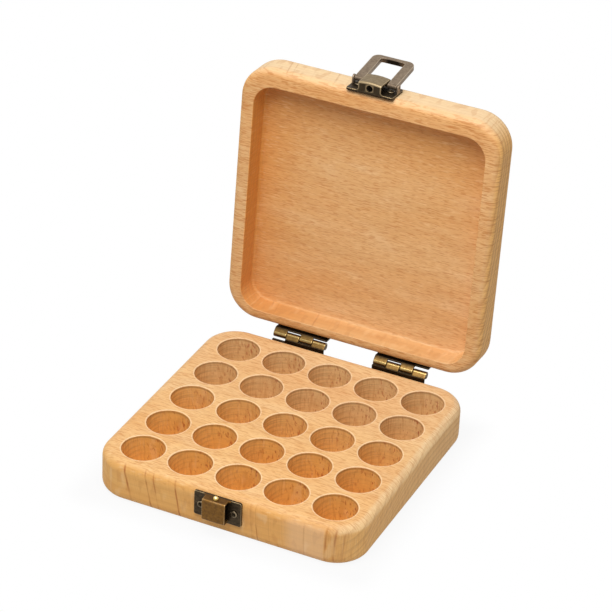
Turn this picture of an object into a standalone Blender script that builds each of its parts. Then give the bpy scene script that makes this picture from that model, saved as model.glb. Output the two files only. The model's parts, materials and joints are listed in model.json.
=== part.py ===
"""Essential oil storage box: a drilled beech base, a hollowed beech lid, two butt hinges and a bail latch.

Metres, +Z up. The origin is the middle of the base's underside, +X runs along the hinge line and +Y to
the back. The lid and all that rides on it are modelled where they are with the box shut, and hang from an
empty on the hinge axis that holds them open. The bail hangs from a second empty on its pivot.
"""

import math

import bmesh
import bpy
from mathutils import Matrix

# Two beech blocks
box_width = 0.1210
box_depth = 0.1200
base_height = 0.0190
lid_height = 0.0170
corner_radius = 0.0150
base_top_round = 0.0042
base_foot_round = 0.0040
lid_rim_round = 0.0023
lid_outer_round = 0.0050
parting_gap = 0.0003

# Bores for the bottles
bore_rows = 5
bore_columns = 5
bore_pitch = 0.0220
bore_radius = 0.00925
bore_depth = 0.0150
bore_grid_right = 0.0009
bore_grid_forward = 0.0013

# Pocket in the lid
pocket_side_wall = 0.0068
pocket_front_wall = 0.0082
pocket_back_wall = 0.0051
pocket_corner_radius = 0.0096
pocket_depth = 0.0116
pocket_floor_round = 0.0012

# Hinges
lid_open_degrees = 94.3
hinge_length = 0.0250
hinge_left_place = -0.0229
hinge_right_place = 0.0254
hinge_axis_back = 0.0031
hinge_pin_radius = 0.00075
hinge_sheet = 0.00085
hinge_running_gap = 0.00005
knuckle_gap = 0.00025
knuckle_count = 4
leaf_reach = 0.0100
leaf_notch_gap = 0.00025
roll_start_degrees = 135.0
roll_sweep_degrees = 285.0
hinge_screw_inset = 0.0055

# Screws, the same in hinges and latch
screw_head_radius = 0.0015
screw_head_height = 0.0007
screw_head_brim = 0.0002
screw_shank_radius = 0.0008
screw_point_length = 0.0010
screw_grip = 0.0040
screw_side_gap = 0.0002
screw_head_gap = 0.0001

# Gaps that keep seated pieces apart
seat_gap = 0.0003
union_inset = 0.00005
cut_overrun = 0.0010
weld_distance = 0.000001

# Latch plates and their folded bosses
latch_place = -0.0005
latch_width = 0.0215
latch_sheet = 0.0008
latch_bend = 0.0004
plate_corner_round = 0.0008
boss_width = 0.0104
boss_lip_gap = 0.0003
boss_pin_gap = 0.0005
keeper_drop = 0.0009
keeper_height = 0.0115
keeper_boss_height = 0.0101
latch_meeting_gap = 0.00025
lid_plate_height = 0.0115
lid_boss_height = 0.0101

# Nib on the keeper
nib_radius = 0.00135
nib_neck = 0.0002
nib_hole_gap = 0.00015
nib_shank_radius = 0.0007
nib_rivet_radius = 0.0010
nib_rivet_height = 0.0004
nib_seat_gap = 0.0001

# Bail and its pivot
pivot_rise = 0.0070
pivot_pin_radius = 0.0006
pivot_running_gap = 0.00005
ear_pin_gap = 0.00005
ear_wall = 0.0010
bail_thickness = 0.0023
bail_bar = 0.0021
bail_corner_radius = 0.0030
bail_side_gap = 0.00025
bail_screw_gap = 0.00035
bail_hook_gap = 0.0003
bail_lean_degrees = 9.0
bail_end_round_share = 0.9

# Facets on round shapes
bore_facets = 24
pin_facets = 24
screw_facets = 12
corner_facets = 8
edge_facets = 4
fillet_facets = 3
roll_facets = 20
dome_facets = 3

# Places worked out from the sizes above
front_face = -box_depth / 2
back_face = box_depth / 2
lid_rim = base_height + parting_gap
hinge_axis_y = back_face + hinge_axis_back
hinge_axis_z = base_height + parting_gap / 2
knuckle_radius = hinge_pin_radius + hinge_running_gap + hinge_sheet
roll_radius = knuckle_radius - hinge_sheet / 2
leaf_flat = hinge_axis_back - seat_gap - hinge_sheet / 2
notch_reach = knuckle_radius + leaf_notch_gap
hinge_screw_reach = (notch_reach + leaf_reach) / 2

plate_front = seat_gap + latch_sheet
pivot_out = plate_front + screw_head_gap + screw_head_height + bail_screw_gap + bail_thickness / 2
boss_front = pivot_out + pivot_pin_radius + boss_pin_gap + latch_sheet
nib_out = (plate_front + boss_front - latch_sheet) / 2
ear_radius = pivot_pin_radius + ear_pin_gap + ear_wall
ear_outer = latch_width / 2 - union_inset
ear_inner = ear_outer - latch_sheet
latch_screw_side = (boss_width / 2 + ear_inner) / 2

keeper_top = base_height - keeper_drop
keeper_boss_foot = keeper_top - keeper_boss_height
lid_plate_foot = keeper_top + latch_meeting_gap
pivot_z = lid_plate_foot + pivot_rise
bail_reach = pivot_z - keeper_boss_foot + bail_hook_gap
bail_half_window = boss_width / 2 + bail_side_gap
bail_half_width = ear_inner - bail_side_gap

wood = ((0.80, 0.52, 0.26), 0.55, 0.0)
bronze = ((0.20, 0.14, 0.08), 0.38, 1.0)
worn_bronze = ((0.34, 0.27, 0.18), 0.40, 1.0)
brass = ((0.85, 0.68, 0.32), 0.25, 1.0)


# Scene, collections and the two moving frames
def clear_scene():
    """Empties the file of objects."""
    for old in list(bpy.data.objects):
        bpy.data.objects.remove(old, do_unlink=True)


def new_collection(name):
    """A collection under the scene's own."""
    collection = bpy.data.collections.new(name)
    bpy.context.scene.collection.children.link(collection)
    return collection


def new_axis(name, place, degrees, parent=None):
    """An empty on a joint's axis, turned about X; its own place is given in the shut box's frame."""
    axis = bpy.data.objects.new(name, None)
    parts.objects.link(axis)
    axis.location = place
    axis.rotation_euler = (math.radians(degrees), 0, 0)
    if parent is not None:
        hang(axis, parent)
    return axis


def hang(obj, axis):
    """Hangs an object, placed in the shut box's frame, from the empty that turns it."""
    obj.parent = axis
    obj.matrix_parent_inverse = Matrix.Translation(axis.location).inverted()


def finish(obj, look):
    """Gives an object a material of its own."""
    colour, roughness, metallic = look
    material = bpy.data.materials.new(obj.name)
    material.use_nodes = True
    shader = material.node_tree.nodes["Principled BSDF"]
    shader.inputs["Base Color"].default_value = (*colour, 1)
    shader.inputs["Roughness"].default_value = roughness
    shader.inputs["Metallic"].default_value = metallic
    obj.data.materials.append(material)
    obj.data.shade_smooth()
    obj.data.set_sharp_from_angle(angle=math.radians(30))


def new_part(name, mesh, look, axis=None):
    """A finished sub-part, on the base or hung from a moving frame."""
    obj = bpy.data.objects.new(name, mesh)
    parts.objects.link(obj)
    if axis is not None:
        hang(obj, axis)
    finish(obj, look)
    return obj


def new_tool(name, mesh, axis=None):
    """A solid that only cuts or joins others."""
    tool = bpy.data.objects.new(name, mesh)
    tools.objects.link(tool)
    tool.hide_render = True
    tool.display_type = "WIRE"
    if axis is not None:
        hang(tool, axis)
    return tool


def combine(target, tool, operation):
    """Cuts a tool out of a part, or joins it to the part."""
    step = target.modifiers.new(tool.name, "BOOLEAN")
    step.operation = operation
    step.solver = "EXACT"
    step.object = tool


# Shapes
def mesh_from(bm, name):
    """Closes a bmesh into a mesh."""
    mesh = bpy.data.meshes.new(name)
    bm.to_mesh(mesh)
    bm.free()
    return mesh


def rounded_block(name, size, low_corner, corner, low_round, high_round):
    """A block with upright corners of one radius, and its lower and upper edges rounded over."""
    bm = bmesh.new()
    bmesh.ops.create_cube(bm, size=1)
    bmesh.ops.scale(bm, verts=bm.verts, vec=size)
    middle = [low + side / 2 for low, side in zip(low_corner, size)]
    bmesh.ops.translate(bm, verts=bm.verts, vec=middle)
    upright = [edge for edge in bm.edges if edge.verts[0].co.xy == edge.verts[1].co.xy]
    bmesh.ops.bevel(bm, geom=upright, offset=corner, segments=corner_facets, profile=0.5, affect="EDGES")
    for direction, radius in ((-1, low_round), (1, high_round)):
        if radius > 0:
            bm.normal_update()
            face = max(bm.faces, key=lambda f: f.normal.z * direction)
            rim = list(face.edges)
            bmesh.ops.bevel(bm, geom=rim, offset=radius, segments=edge_facets, profile=0.5, affect="EDGES")
    return mesh_from(bm, name)


def box(name, low, high):
    """A plain block between two corners."""
    bm = bmesh.new()
    bmesh.ops.create_cube(bm, size=1)
    bmesh.ops.scale(bm, verts=bm.verts, vec=[b - a for a, b in zip(low, high)])
    bmesh.ops.translate(bm, verts=bm.verts, vec=[(a + b) / 2 for a, b in zip(low, high)])
    return mesh_from(bm, name)


def rod(name, radius, start, end, facets):
    """A faceted cylinder between two points that lie along one axis of the frame."""
    bm = bmesh.new()
    run = [b - a for a, b in zip(start, end)]
    length = math.sqrt(sum(step * step for step in run))
    bmesh.ops.create_cone(
        bm, cap_ends=True, segments=facets, radius1=radius, radius2=radius, depth=length
    )
    if abs(run[0]) > 0:
        bmesh.ops.rotate(bm, verts=bm.verts, matrix=Matrix.Rotation(math.radians(90), 3, "Y"))
    if abs(run[1]) > 0:
        bmesh.ops.rotate(bm, verts=bm.verts, matrix=Matrix.Rotation(math.radians(90), 3, "X"))
    bmesh.ops.translate(bm, verts=bm.verts, vec=[(a + b) / 2 for a, b in zip(start, end)])
    return mesh_from(bm, name)


def turned(obj, facets):
    """Turns the profile in an object's mesh about its own Z."""
    turn = obj.modifiers.new("turn", "SCREW")
    turn.axis = "Z"
    turn.angle = math.radians(360)
    turn.steps = facets
    turn.render_steps = facets
    turn.use_merge_vertices = True
    turn.merge_threshold = weld_distance
    turn.use_smooth_shade = True


def profile_mesh(name, profile):
    """A profile of (radius, height) points, from top to bottom, as a wire at +X."""
    mesh = bpy.data.meshes.new(name)
    points = [(radius, 0, height) for radius, height in profile]
    links = [(k, k + 1) for k in range(len(points) - 1)]
    mesh.from_pydata(points, links, [])
    return mesh


def filleted(corners):
    """An outline through corners of (across, up, radius), each rounded with its own radius."""
    outline = []
    for k, (x, y, radius) in enumerate(corners):
        before = corners[k - 1]
        after = corners[(k + 1) % len(corners)]
        if radius == 0:
            outline.append((x, y))
            continue
        start = math.atan2(before[1] - y, before[0] - x)
        turn = math.atan2(after[1] - y, after[0] - x) - start
        turn = (turn + math.pi) % (2 * math.pi) - math.pi
        reach = radius / math.tan(abs(turn) / 2)
        bisector = start + turn / 2
        hub = radius / math.sin(abs(turn) / 2)
        hub_x = x + hub * math.cos(bisector)
        hub_y = y + hub * math.sin(bisector)
        first = math.atan2(y + reach * math.sin(start) - hub_y, x + reach * math.cos(start) - hub_x)
        sweep = math.copysign(math.pi - abs(turn), -turn)
        for step in range(fillet_facets + 1):
            angle = first + sweep * step / fillet_facets
            outline.append((hub_x + radius * math.cos(angle), hub_y + radius * math.sin(angle)))
    return outline


def slab(name, outline, thickness, turn):
    """A flat outline as a slab, half its thickness to each side of its plane, turned into place."""
    curve = bpy.data.curves.new(name, "CURVE")
    curve.dimensions = "2D"
    curve.fill_mode = "BOTH"
    curve.extrude = thickness / 2
    spline = curve.splines.new("POLY")
    spline.points.add(len(outline) - 1)
    for point, (x, y) in zip(spline.points, outline):
        point.co = (x, y, 0, 1)
    spline.use_cyclic_u = True
    guide = bpy.data.objects.new(name, curve)
    tools.objects.link(guide)
    ready = guide.evaluated_get(bpy.context.evaluated_depsgraph_get())
    mesh = bpy.data.meshes.new_from_object(ready)
    bpy.data.objects.remove(guide, do_unlink=True)
    bm = bmesh.new()
    bm.from_mesh(mesh)
    bmesh.ops.remove_doubles(bm, verts=bm.verts, dist=weld_distance)
    bmesh.ops.transform(bm, matrix=turn, verts=bm.verts)
    bmesh.ops.recalc_face_normals(bm, faces=bm.faces)
    bm.to_mesh(mesh)
    bm.free()
    return mesh


def facing_front(across, out, up):
    """Turns an outline of (x, z) to stand in the plane y = out."""
    stand = Matrix.Rotation(math.radians(90), 4, "X")
    return Matrix.Translation((across, out, up)) @ stand


def facing_side(across, out, up):
    """Turns an outline of (y, z) to stand in the plane x = across."""
    stand = Matrix(((0, 0, 1, 0), (1, 0, 0, 0), (0, 1, 0, 0), (0, 0, 0, 1)))
    return Matrix.Translation((across, out, up)) @ stand


def strip_mesh(name, path, low, high):
    """A path of (y, z) points drawn along X into an open sheet."""
    bm = bmesh.new()
    verts = [bm.verts.new((low, y, z)) for y, z in path]
    edges = [bm.edges.new(pair) for pair in zip(verts, verts[1:])]
    drawn = bmesh.ops.extrude_edge_only(bm, edges=edges)
    moved = [item for item in drawn["geom"] if isinstance(item, bmesh.types.BMVert)]
    bmesh.ops.translate(bm, verts=moved, vec=(high - low, 0, 0))
    return mesh_from(bm, name)


def fold(obj, bend):
    """Rounds the bends of an open sheet."""
    bevel = obj.modifiers.new("bends", "BEVEL")
    bevel.width = bend
    bevel.segments = fillet_facets
    bevel.limit_method = "ANGLE"
    bevel.angle_limit = math.radians(40)


def thicken(obj, sheet):
    """Gives an open sheet its thickness, half to each side."""
    wall = obj.modifiers.new("sheet", "SOLIDIFY")
    wall.thickness = sheet
    wall.offset = 0
    wall.use_even_offset = True


# Screws, with the holes that they pass and the pilot holes that they fill
def screw_profile(sheet):
    """A domed head on a shank, with the head's underside at height zero."""
    foot = -(screw_head_gap + sheet + seat_gap + screw_grip)
    dome = screw_head_height - screw_head_brim
    profile = []
    for k in range(dome_facets + 1):
        angle = math.radians(90) * k / dome_facets
        profile.append((screw_head_radius * math.sin(angle), screw_head_brim + dome * math.cos(angle)))
    profile += [(screw_head_radius, 0), (screw_shank_radius, 0)]
    profile += [(screw_shank_radius, foot + screw_point_length), (0, foot)]
    return profile


def add_screw(name, across, up, face, outward, sheet, pieces, axis=None):
    """A screw through a plate into a block; outward is +1 on the back face and -1 on the front."""
    under_head = face + outward * (seat_gap + sheet + screw_head_gap)
    screw = new_part(name, profile_mesh(name, screw_profile(sheet)), bronze, axis)
    screw.location = (across, under_head, up)
    screw.rotation_euler = (math.radians(-90 * outward), 0, 0)
    turned(screw, screw_facets)
    start = (across, face - outward * (screw_grip + screw_side_gap), up)
    end = (across, under_head + outward * cut_overrun, up)
    hole = rod(name + "_hole", screw_shank_radius + screw_side_gap, start, end, screw_facets)
    cutter = new_tool(name + "_hole", hole, axis)
    for piece in pieces:
        combine(piece, cutter, "DIFFERENCE")
    return screw


# Wooden blocks
def add_base():
    """The base: a block with soft edges and a square grid of blind bores."""
    size = (box_width, box_depth, base_height)
    low = (-box_width / 2, front_face, 0)
    mesh = rounded_block("base_block", size, low, corner_radius, base_foot_round, base_top_round)
    base = new_part("base_block", mesh, wood)
    mouth = base_height + cut_overrun
    floor = base_height - bore_depth
    profile = [(0, mouth), (bore_radius, mouth), (bore_radius, floor), (0, floor)]
    bores = new_tool("bores", profile_mesh("bores", profile))
    first_column = bore_grid_right - bore_pitch * (bore_columns - 1) / 2
    first_row = -bore_grid_forward - bore_pitch * (bore_rows - 1) / 2
    bores.location = (first_column, first_row, 0)
    turned(bores, bore_facets)
    for count, step in ((bore_columns, (bore_pitch, 0, 0)), (bore_rows, (0, bore_pitch, 0))):
        repeat = bores.modifiers.new("repeat", "ARRAY")
        repeat.count = count
        repeat.use_relative_offset = False
        repeat.use_constant_offset = True
        repeat.constant_offset_displace = step
        repeat.merge_threshold = weld_distance
    combine(base, bores, "DIFFERENCE")
    return base


def add_lid(axis):
    """The lid: a block with soft edges and one wide pocket, open towards the base."""
    size = (box_width, box_depth, lid_height)
    low = (-box_width / 2, front_face, lid_rim)
    mesh = rounded_block("lid_block", size, low, corner_radius, lid_rim_round, lid_outer_round)
    lid = new_part("lid_block", mesh, wood, axis)
    size = (
        box_width - 2 * pocket_side_wall,
        box_depth - pocket_front_wall - pocket_back_wall,
        pocket_depth + cut_overrun,
    )
    low = (-size[0] / 2, front_face + pocket_front_wall, lid_rim - cut_overrun)
    mesh = rounded_block("pocket", size, low, pocket_corner_radius, 0, pocket_floor_round)
    combine(lid, new_tool("pocket", mesh, axis), "DIFFERENCE")
    return lid


# Hinges
def leaf_path(side):
    """A leaf's middle line about the pin: along the wood, out to the barrel at 45 degrees, then round it."""
    slope = math.cos(math.radians(roll_start_degrees))
    step = leaf_flat + 2 * roll_radius * slope
    path = [(-leaf_flat, side * leaf_reach), (-leaf_flat, side * step)]
    for k in range(roll_facets + 1):
        angle = math.radians(roll_start_degrees - roll_sweep_degrees * k / roll_facets)
        path.append((roll_radius * math.cos(angle), -side * roll_radius * math.sin(angle)))
    return [(hinge_axis_y + y, hinge_axis_z + z) for y, z in path]


def knuckle_span(left_end, number):
    """The stretch of the hinge line that a knuckle takes, numbered from the left."""
    width = (hinge_length - (knuckle_count - 1) * knuckle_gap) / knuckle_count
    start = left_end + number * (width + knuckle_gap)
    return start, start + width


def add_leaf(name, place, side, first_knuckle, axis=None):
    """One leaf: a strip rolled at one edge, cut away where the other leaf's knuckles turn."""
    left_end = place - hinge_length / 2
    mesh = strip_mesh(name, leaf_path(side), left_end, left_end + hinge_length)
    leaf = new_part(name, mesh, bronze, axis)
    thicken(leaf, hinge_sheet)
    for number in range(1 - first_knuckle, knuckle_count, 2):
        start, end = knuckle_span(left_end, number)
        start -= knuckle_gap if number > 0 else cut_overrun
        end += knuckle_gap if number < knuckle_count - 1 else cut_overrun
        heights = sorted((side * notch_reach, -side * (knuckle_radius + cut_overrun)))
        low = (start, hinge_axis_y - hinge_axis_back, hinge_axis_z + heights[0])
        high = (end, hinge_axis_y + knuckle_radius + cut_overrun, hinge_axis_z + heights[1])
        tool_name = name + "_notch_" + str(number)
        combine(leaf, new_tool(tool_name, box(tool_name, low, high), axis), "DIFFERENCE")
    return leaf


def add_hinge(hinge, place, base, lid, axis):
    """A butt hinge: two leaves, their pin and two screws in each leaf."""
    lid_leaf = add_leaf(hinge + "_lid_leaf", place, 1, 0, axis)
    base_leaf = add_leaf(hinge + "_base_leaf", place, -1, 1)
    start = (place - hinge_length / 2, hinge_axis_y, hinge_axis_z)
    end = (place + hinge_length / 2, hinge_axis_y, hinge_axis_z)
    name = hinge + "_pin"
    new_part(name, rod(name, hinge_pin_radius, start, end, pin_facets), bronze)
    spread = hinge_length / 2 - hinge_screw_inset
    for number, across in ((1, place - spread), (2, place + spread)):
        name = hinge + "_base_screw_" + str(number)
        up = hinge_axis_z - hinge_screw_reach
        add_screw(name, across, up, back_face, 1, hinge_sheet, (base_leaf, base))
        name = hinge + "_lid_screw_" + str(number)
        up = hinge_axis_z + hinge_screw_reach
        add_screw(name, across, up, back_face, 1, hinge_sheet, (lid_leaf, lid), axis)


# Latch
def add_latch_plate(name, foot, top, look, axis=None):
    """A latch's flat plate on the front faces, with its corners rounded."""
    half = latch_width / 2
    low = (-half, foot, plate_corner_round)
    corners = [low, (half, foot, plate_corner_round), (half, top, plate_corner_round)]
    corners.append((-half, top, plate_corner_round))
    turn = facing_front(latch_place, front_face - seat_gap - latch_sheet / 2, 0)
    return new_part(name, slab(name, filleted(corners), latch_sheet, turn), look, axis)


def add_boss(plate, edge, tip, axis=None):
    """The boss: a tongue folded out from the plate's edge, along its face and back behind it."""
    inward = math.copysign(1, tip - edge)
    first = edge + inward * (latch_sheet / 2 + union_inset)
    last = tip - inward * latch_sheet / 2
    rear = front_face - seat_gap - latch_sheet / 2
    face = front_face - boss_front + latch_sheet / 2
    lip = front_face - plate_front - boss_lip_gap
    path = [(rear, first), (face, first), (face, last), (lip, last)]
    name = plate.name + "_boss"
    low = latch_place - boss_width / 2
    boss = new_tool(name, strip_mesh(name, path, low, low + boss_width), axis)
    fold(boss, latch_bend)
    thicken(boss, latch_sheet)
    combine(plate, boss, "UNION")


def add_keeper(base):
    """The keeper on the base: plate, folded boss, and the brass nib riveted through the boss's top."""
    keeper = add_latch_plate("latch_keeper", keeper_top - keeper_height, keeper_top, bronze)
    add_boss(keeper, keeper_top, keeper_boss_foot)
    wall_top = keeper_top - union_inset
    wall_foot = wall_top - latch_sheet
    centre = (latch_place, front_face - nib_out, 0)
    hole = rod(
        "nib_rivet_hole",
        nib_shank_radius + nib_seat_gap,
        (centre[0], centre[1], wall_foot - cut_overrun),
        (centre[0], centre[1], wall_top + cut_overrun),
        screw_facets,
    )
    combine(keeper, new_tool("nib_rivet_hole", hole), "DIFFERENCE")
    seat = wall_top + nib_seat_gap
    clench = wall_foot - nib_seat_gap
    shoulder = keeper_top + nib_neck
    profile = []
    for k in range(dome_facets + 1):
        angle = math.radians(90) * k / dome_facets
        profile.append((nib_radius * math.sin(angle), shoulder + nib_radius * math.cos(angle)))
    profile += [(nib_radius, seat), (nib_shank_radius, seat), (nib_shank_radius, clench)]
    profile += [(nib_rivet_radius, clench), (nib_rivet_radius, clench - nib_rivet_height)]
    profile.append((0, clench - nib_rivet_height))
    nib = new_part("latch_nib", profile_mesh("latch_nib", profile), brass)
    nib.location = centre
    turned(nib, pin_facets)
    up = keeper_top - keeper_height / 2
    for side, across in (("left", -latch_screw_side), ("right", latch_screw_side)):
        name = "latch_keeper_screw_" + side
        add_screw(name, latch_place + across, up, front_face, -1, latch_sheet, (keeper, base))
    return keeper


def add_lid_plate(lid, axis):
    """The plate on the lid: folded boss with the nib's hole, and two ears for the pivot."""
    top = lid_plate_foot + lid_plate_height
    plate = add_latch_plate("latch_lid_plate", lid_plate_foot, top, worn_bronze, axis)
    add_boss(plate, lid_plate_foot, lid_plate_foot + lid_boss_height, axis)
    centre_y = front_face - nib_out
    hole = rod(
        "nib_hole",
        nib_radius + nib_hole_gap,
        (latch_place, centre_y, lid_plate_foot - cut_overrun),
        (latch_place, centre_y, lid_plate_foot + latch_sheet + cut_overrun),
        pin_facets,
    )
    combine(plate, new_tool("nib_hole", hole, axis), "DIFFERENCE")
    root = seat_gap + latch_sheet / 2
    outline = [(-root, ear_radius), (-pivot_out, ear_radius)]
    for k in range(1, corner_facets):
        angle = math.radians(90 + 180 * k / corner_facets)
        outline.append((-pivot_out + ear_radius * math.cos(angle), ear_radius * math.sin(angle)))
    outline += [(-pivot_out, -ear_radius), (-root, -ear_radius)]
    for side, sign in (("left", -1), ("right", 1)):
        turn = facing_side(latch_place + sign * (ear_outer + ear_inner) / 2, front_face, pivot_z)
        name = "ear_" + side
        ear = new_tool(name, slab(name, outline, latch_sheet, turn), axis)
        combine(plate, ear, "UNION")
    reach = latch_width / 2 + cut_overrun
    hole = rod(
        "ear_hole",
        pivot_pin_radius + ear_pin_gap,
        (latch_place - reach, front_face - pivot_out, pivot_z),
        (latch_place + reach, front_face - pivot_out, pivot_z),
        pin_facets,
    )
    combine(plate, new_tool("ear_hole", hole, axis), "DIFFERENCE")
    up = lid_plate_foot + lid_plate_height / 2
    for side, across in (("left", -latch_screw_side), ("right", latch_screw_side)):
        name = "latch_lid_screw_" + side
        add_screw(name, latch_place + across, up, front_face, -1, latch_sheet, (plate, lid), axis)
    start = (latch_place - ear_outer, front_face - pivot_out, pivot_z)
    end = (latch_place + ear_outer, front_face - pivot_out, pivot_z)
    name = "latch_pivot_pin"
    new_part(name, rod(name, pivot_pin_radius, start, end, pin_facets), worn_bronze, axis)
    return plate


def add_bail(axis):
    """The bail: a U with round far corners, and near ends rounded about the pivot."""
    foot = -bail_thickness / 2
    bar_low = bail_reach
    bar_high = bail_reach + bail_bar
    corners = [
        (-bail_half_width, foot, 0),
        (-bail_half_window, foot, 0),
        (-bail_half_window, bar_low, 0),
        (bail_half_window, bar_low, 0),
        (bail_half_window, foot, 0),
        (bail_half_width, foot, 0),
        (bail_half_width, bar_high, bail_corner_radius),
        (-bail_half_width, bar_high, bail_corner_radius),
    ]
    turn = facing_front(0, 0, 0)
    mesh = slab("latch_bail", filleted(corners), bail_thickness, turn)
    bm = bmesh.new()
    bm.from_mesh(mesh)
    ends = [
        edge
        for edge in bm.edges
        if all(vert.co.z < foot + weld_distance for vert in edge.verts)
        and abs(edge.verts[0].co.y - edge.verts[1].co.y) < weld_distance
        and len({face.normal.to_tuple(2) for face in edge.link_faces}) > 1
    ]
    width = bail_end_round_share * bail_thickness / 2
    bmesh.ops.bevel(bm, geom=ends, offset=width, segments=edge_facets, profile=0.5, affect="EDGES")
    bm.to_mesh(mesh)
    bm.free()
    bail = new_part("latch_bail", mesh, worn_bronze)
    bail.parent = axis
    reach = bail_half_width + cut_overrun
    radius = pivot_pin_radius + pivot_running_gap
    hole = new_tool("bail_hole", rod("bail_hole", radius, (-reach, 0, 0), (reach, 0, 0), pin_facets))
    hole.parent = axis
    combine(bail, hole, "DIFFERENCE")
    return bail


clear_scene()
parts = new_collection("essential_oil_storage_box")
tools = new_collection("cutters")
lid_axis = new_axis("lid_hinge_axis", (0, hinge_axis_y, hinge_axis_z), -lid_open_degrees)
bail_place = (latch_place, front_face - pivot_out, pivot_z)
bail_axis = new_axis("bail_pivot_axis", bail_place, bail_lean_degrees, lid_axis)

base_block = add_base()
lid_block = add_lid(lid_axis)
add_hinge("hinge_left", hinge_left_place, base_block, lid_block, lid_axis)
add_hinge("hinge_right", hinge_right_place, base_block, lid_block, lid_axis)
add_keeper(base_block)
add_lid_plate(lid_block, lid_axis)
add_bail(bail_axis)
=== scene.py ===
# %% [markdown]
# An essential oil storage box, standing open. Two blocks of beech carry everything: a base drilled with 25
# blind bores, and a lid with one milled pocket. The hardware is small: two butt hinges behind the parting
# line, and at the front a keeper with a brass nib, a plate on the lid and a bail that swings over the keeper.
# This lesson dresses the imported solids: first the camera, then the wood, the metal and the light.

# %% Load the frame that everything is fitted to
import json
import math

import bmesh
import bpy
import numpy as np
from mathutils import Matrix, Vector


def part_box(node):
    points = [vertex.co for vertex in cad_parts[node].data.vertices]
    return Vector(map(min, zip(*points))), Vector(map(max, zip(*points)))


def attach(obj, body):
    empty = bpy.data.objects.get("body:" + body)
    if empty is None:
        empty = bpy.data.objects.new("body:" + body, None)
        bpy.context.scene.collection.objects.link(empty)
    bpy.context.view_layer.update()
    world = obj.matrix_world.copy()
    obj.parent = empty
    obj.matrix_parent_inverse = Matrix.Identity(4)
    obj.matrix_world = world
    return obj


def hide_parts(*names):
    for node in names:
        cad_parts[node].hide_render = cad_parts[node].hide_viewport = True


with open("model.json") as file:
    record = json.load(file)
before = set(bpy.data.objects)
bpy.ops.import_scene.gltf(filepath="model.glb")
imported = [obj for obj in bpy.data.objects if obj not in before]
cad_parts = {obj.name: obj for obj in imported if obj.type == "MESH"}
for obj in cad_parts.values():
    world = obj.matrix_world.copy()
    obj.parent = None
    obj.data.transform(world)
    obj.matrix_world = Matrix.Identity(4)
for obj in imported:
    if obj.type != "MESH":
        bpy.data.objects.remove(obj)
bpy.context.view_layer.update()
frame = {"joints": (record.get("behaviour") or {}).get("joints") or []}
mm = 0.001
scene = bpy.context.scene
joints = {joint["name"]: joint for joint in frame["joints"]}

# %% [markdown]
# The lid is easiest to think about with the box shut, when its edges line up with the axes. A joint's record
# gives the pin's place and how far the lid is from shut, so two small functions turn points of the shut lid
# and of the upright bail into the place where they rest.

# %% From the shut box to the open one
lid_joint = joints["lid_hinge"]
bail_joint = joints["bail_pivot"]
lid_axis = np.array(lid_joint["pos_m"])
bail_axis = np.array(bail_joint["pos_m"])
open_angle = math.radians(min(lid_joint["range_deg"]))
bail_lean = math.pi - math.radians(max(bail_joint["range_deg"]))


def turned_about(points, axis, angle):
    """Points turned about a line along X through axis: y and z take the cosine and sine of the angle."""
    y, z = points[..., 1] - axis[1], points[..., 2] - axis[2]
    turned = np.array(points, float)
    turned[..., 1] = axis[1] + y * math.cos(angle) - z * math.sin(angle)
    turned[..., 2] = axis[2] + y * math.sin(angle) + z * math.cos(angle)
    return turned


def unmoved(points):
    """Points of the base, which stay where they are."""
    return np.array(points, float)


def opened(points):
    """Points of the shut lid, carried to the open lid."""
    return turned_about(points, lid_axis, open_angle)


shut_pivot = turned_about(bail_axis, lid_axis, -open_angle)


def swung(points):
    """Points of a bail that stands straight up on the shut lid, carried to where it leans on the open lid."""
    return opened(turned_about(points, shut_pivot, bail_lean))


moves = {"base": unmoved, "lid": opened, "bail": swung}
print("lid opens by", round(math.degrees(open_angle), 2), "bail leans by", round(math.degrees(bail_lean), 2))

# %% [markdown]
# The camera is placed as the photograph's was. Its turn, fall, roll, distance and focal length came from the
# bore grid, the base's outline and the lid's rim. It stands well back with a long lens, so the box shows
# almost without perspective. The grid's centre is known in the picture, and that fixes the camera's place.

# %% Camera
base_high = np.array(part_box("base_block")[1])
top_height = base_high[2]
bore_pitch = 22.0 * mm
grid_centre = Vector((0.9 * mm, -1.3 * mm, top_height))
grid_pixel = (285.184, 425.023)
frame_pixels = 612
focus_pixels = 2987.8
camera_distance = 57.165 * bore_pitch
camera_turn = math.radians(24.121)
camera_fall = math.radians(31.182)
camera_roll = math.radians(2.711)
sensor_width = 36.0


def linked(name, data):
    """A new object in the scene, at the origin."""
    thing = bpy.data.objects.new(name, data)
    scene.collection.objects.link(thing)
    return thing


def camera_matrix():
    """The camera's axes from its turn, fall and roll, and its place from where it sees the grid's centre."""
    forward = Vector((
        -math.sin(camera_turn) * math.cos(camera_fall),
        math.cos(camera_turn) * math.cos(camera_fall),
        -math.sin(camera_fall),
    ))
    level = Vector((math.cos(camera_turn), math.sin(camera_turn), 0))
    upright = level.cross(forward)
    right = level * math.cos(camera_roll) + upright * math.sin(camera_roll)
    up = upright * math.cos(camera_roll) - level * math.sin(camera_roll)
    across = (grid_pixel[0] - frame_pixels / 2) / focus_pixels * camera_distance
    down = (grid_pixel[1] - frame_pixels / 2) / focus_pixels * camera_distance
    matrix = Matrix((right, up, -forward)).transposed().to_4x4()
    matrix.translation = grid_centre - forward * camera_distance - right * across + up * down
    return matrix


camera_data = bpy.data.cameras.new("camera")
camera_data.sensor_width = sensor_width
camera_data.lens = focus_pixels * sensor_width / frame_pixels
camera_data.clip_start = 10 * mm
camera_data.clip_end = 20.0
camera = linked("camera", camera_data)
camera.matrix_world = camera_matrix()
scene.camera = camera
print("camera at", [round(value, 4) for value in camera.location], "lens", round(camera_data.lens, 2))

# %% [markdown]
# Materials are easier to read as sums than as boxes and wires. A Wire wraps one socket, and arithmetic on it
# adds Math nodes. Colours and vectors go through Mix and Vector Math instead, because a Math node would turn
# them grey. Every other node comes from one method, add.

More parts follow.
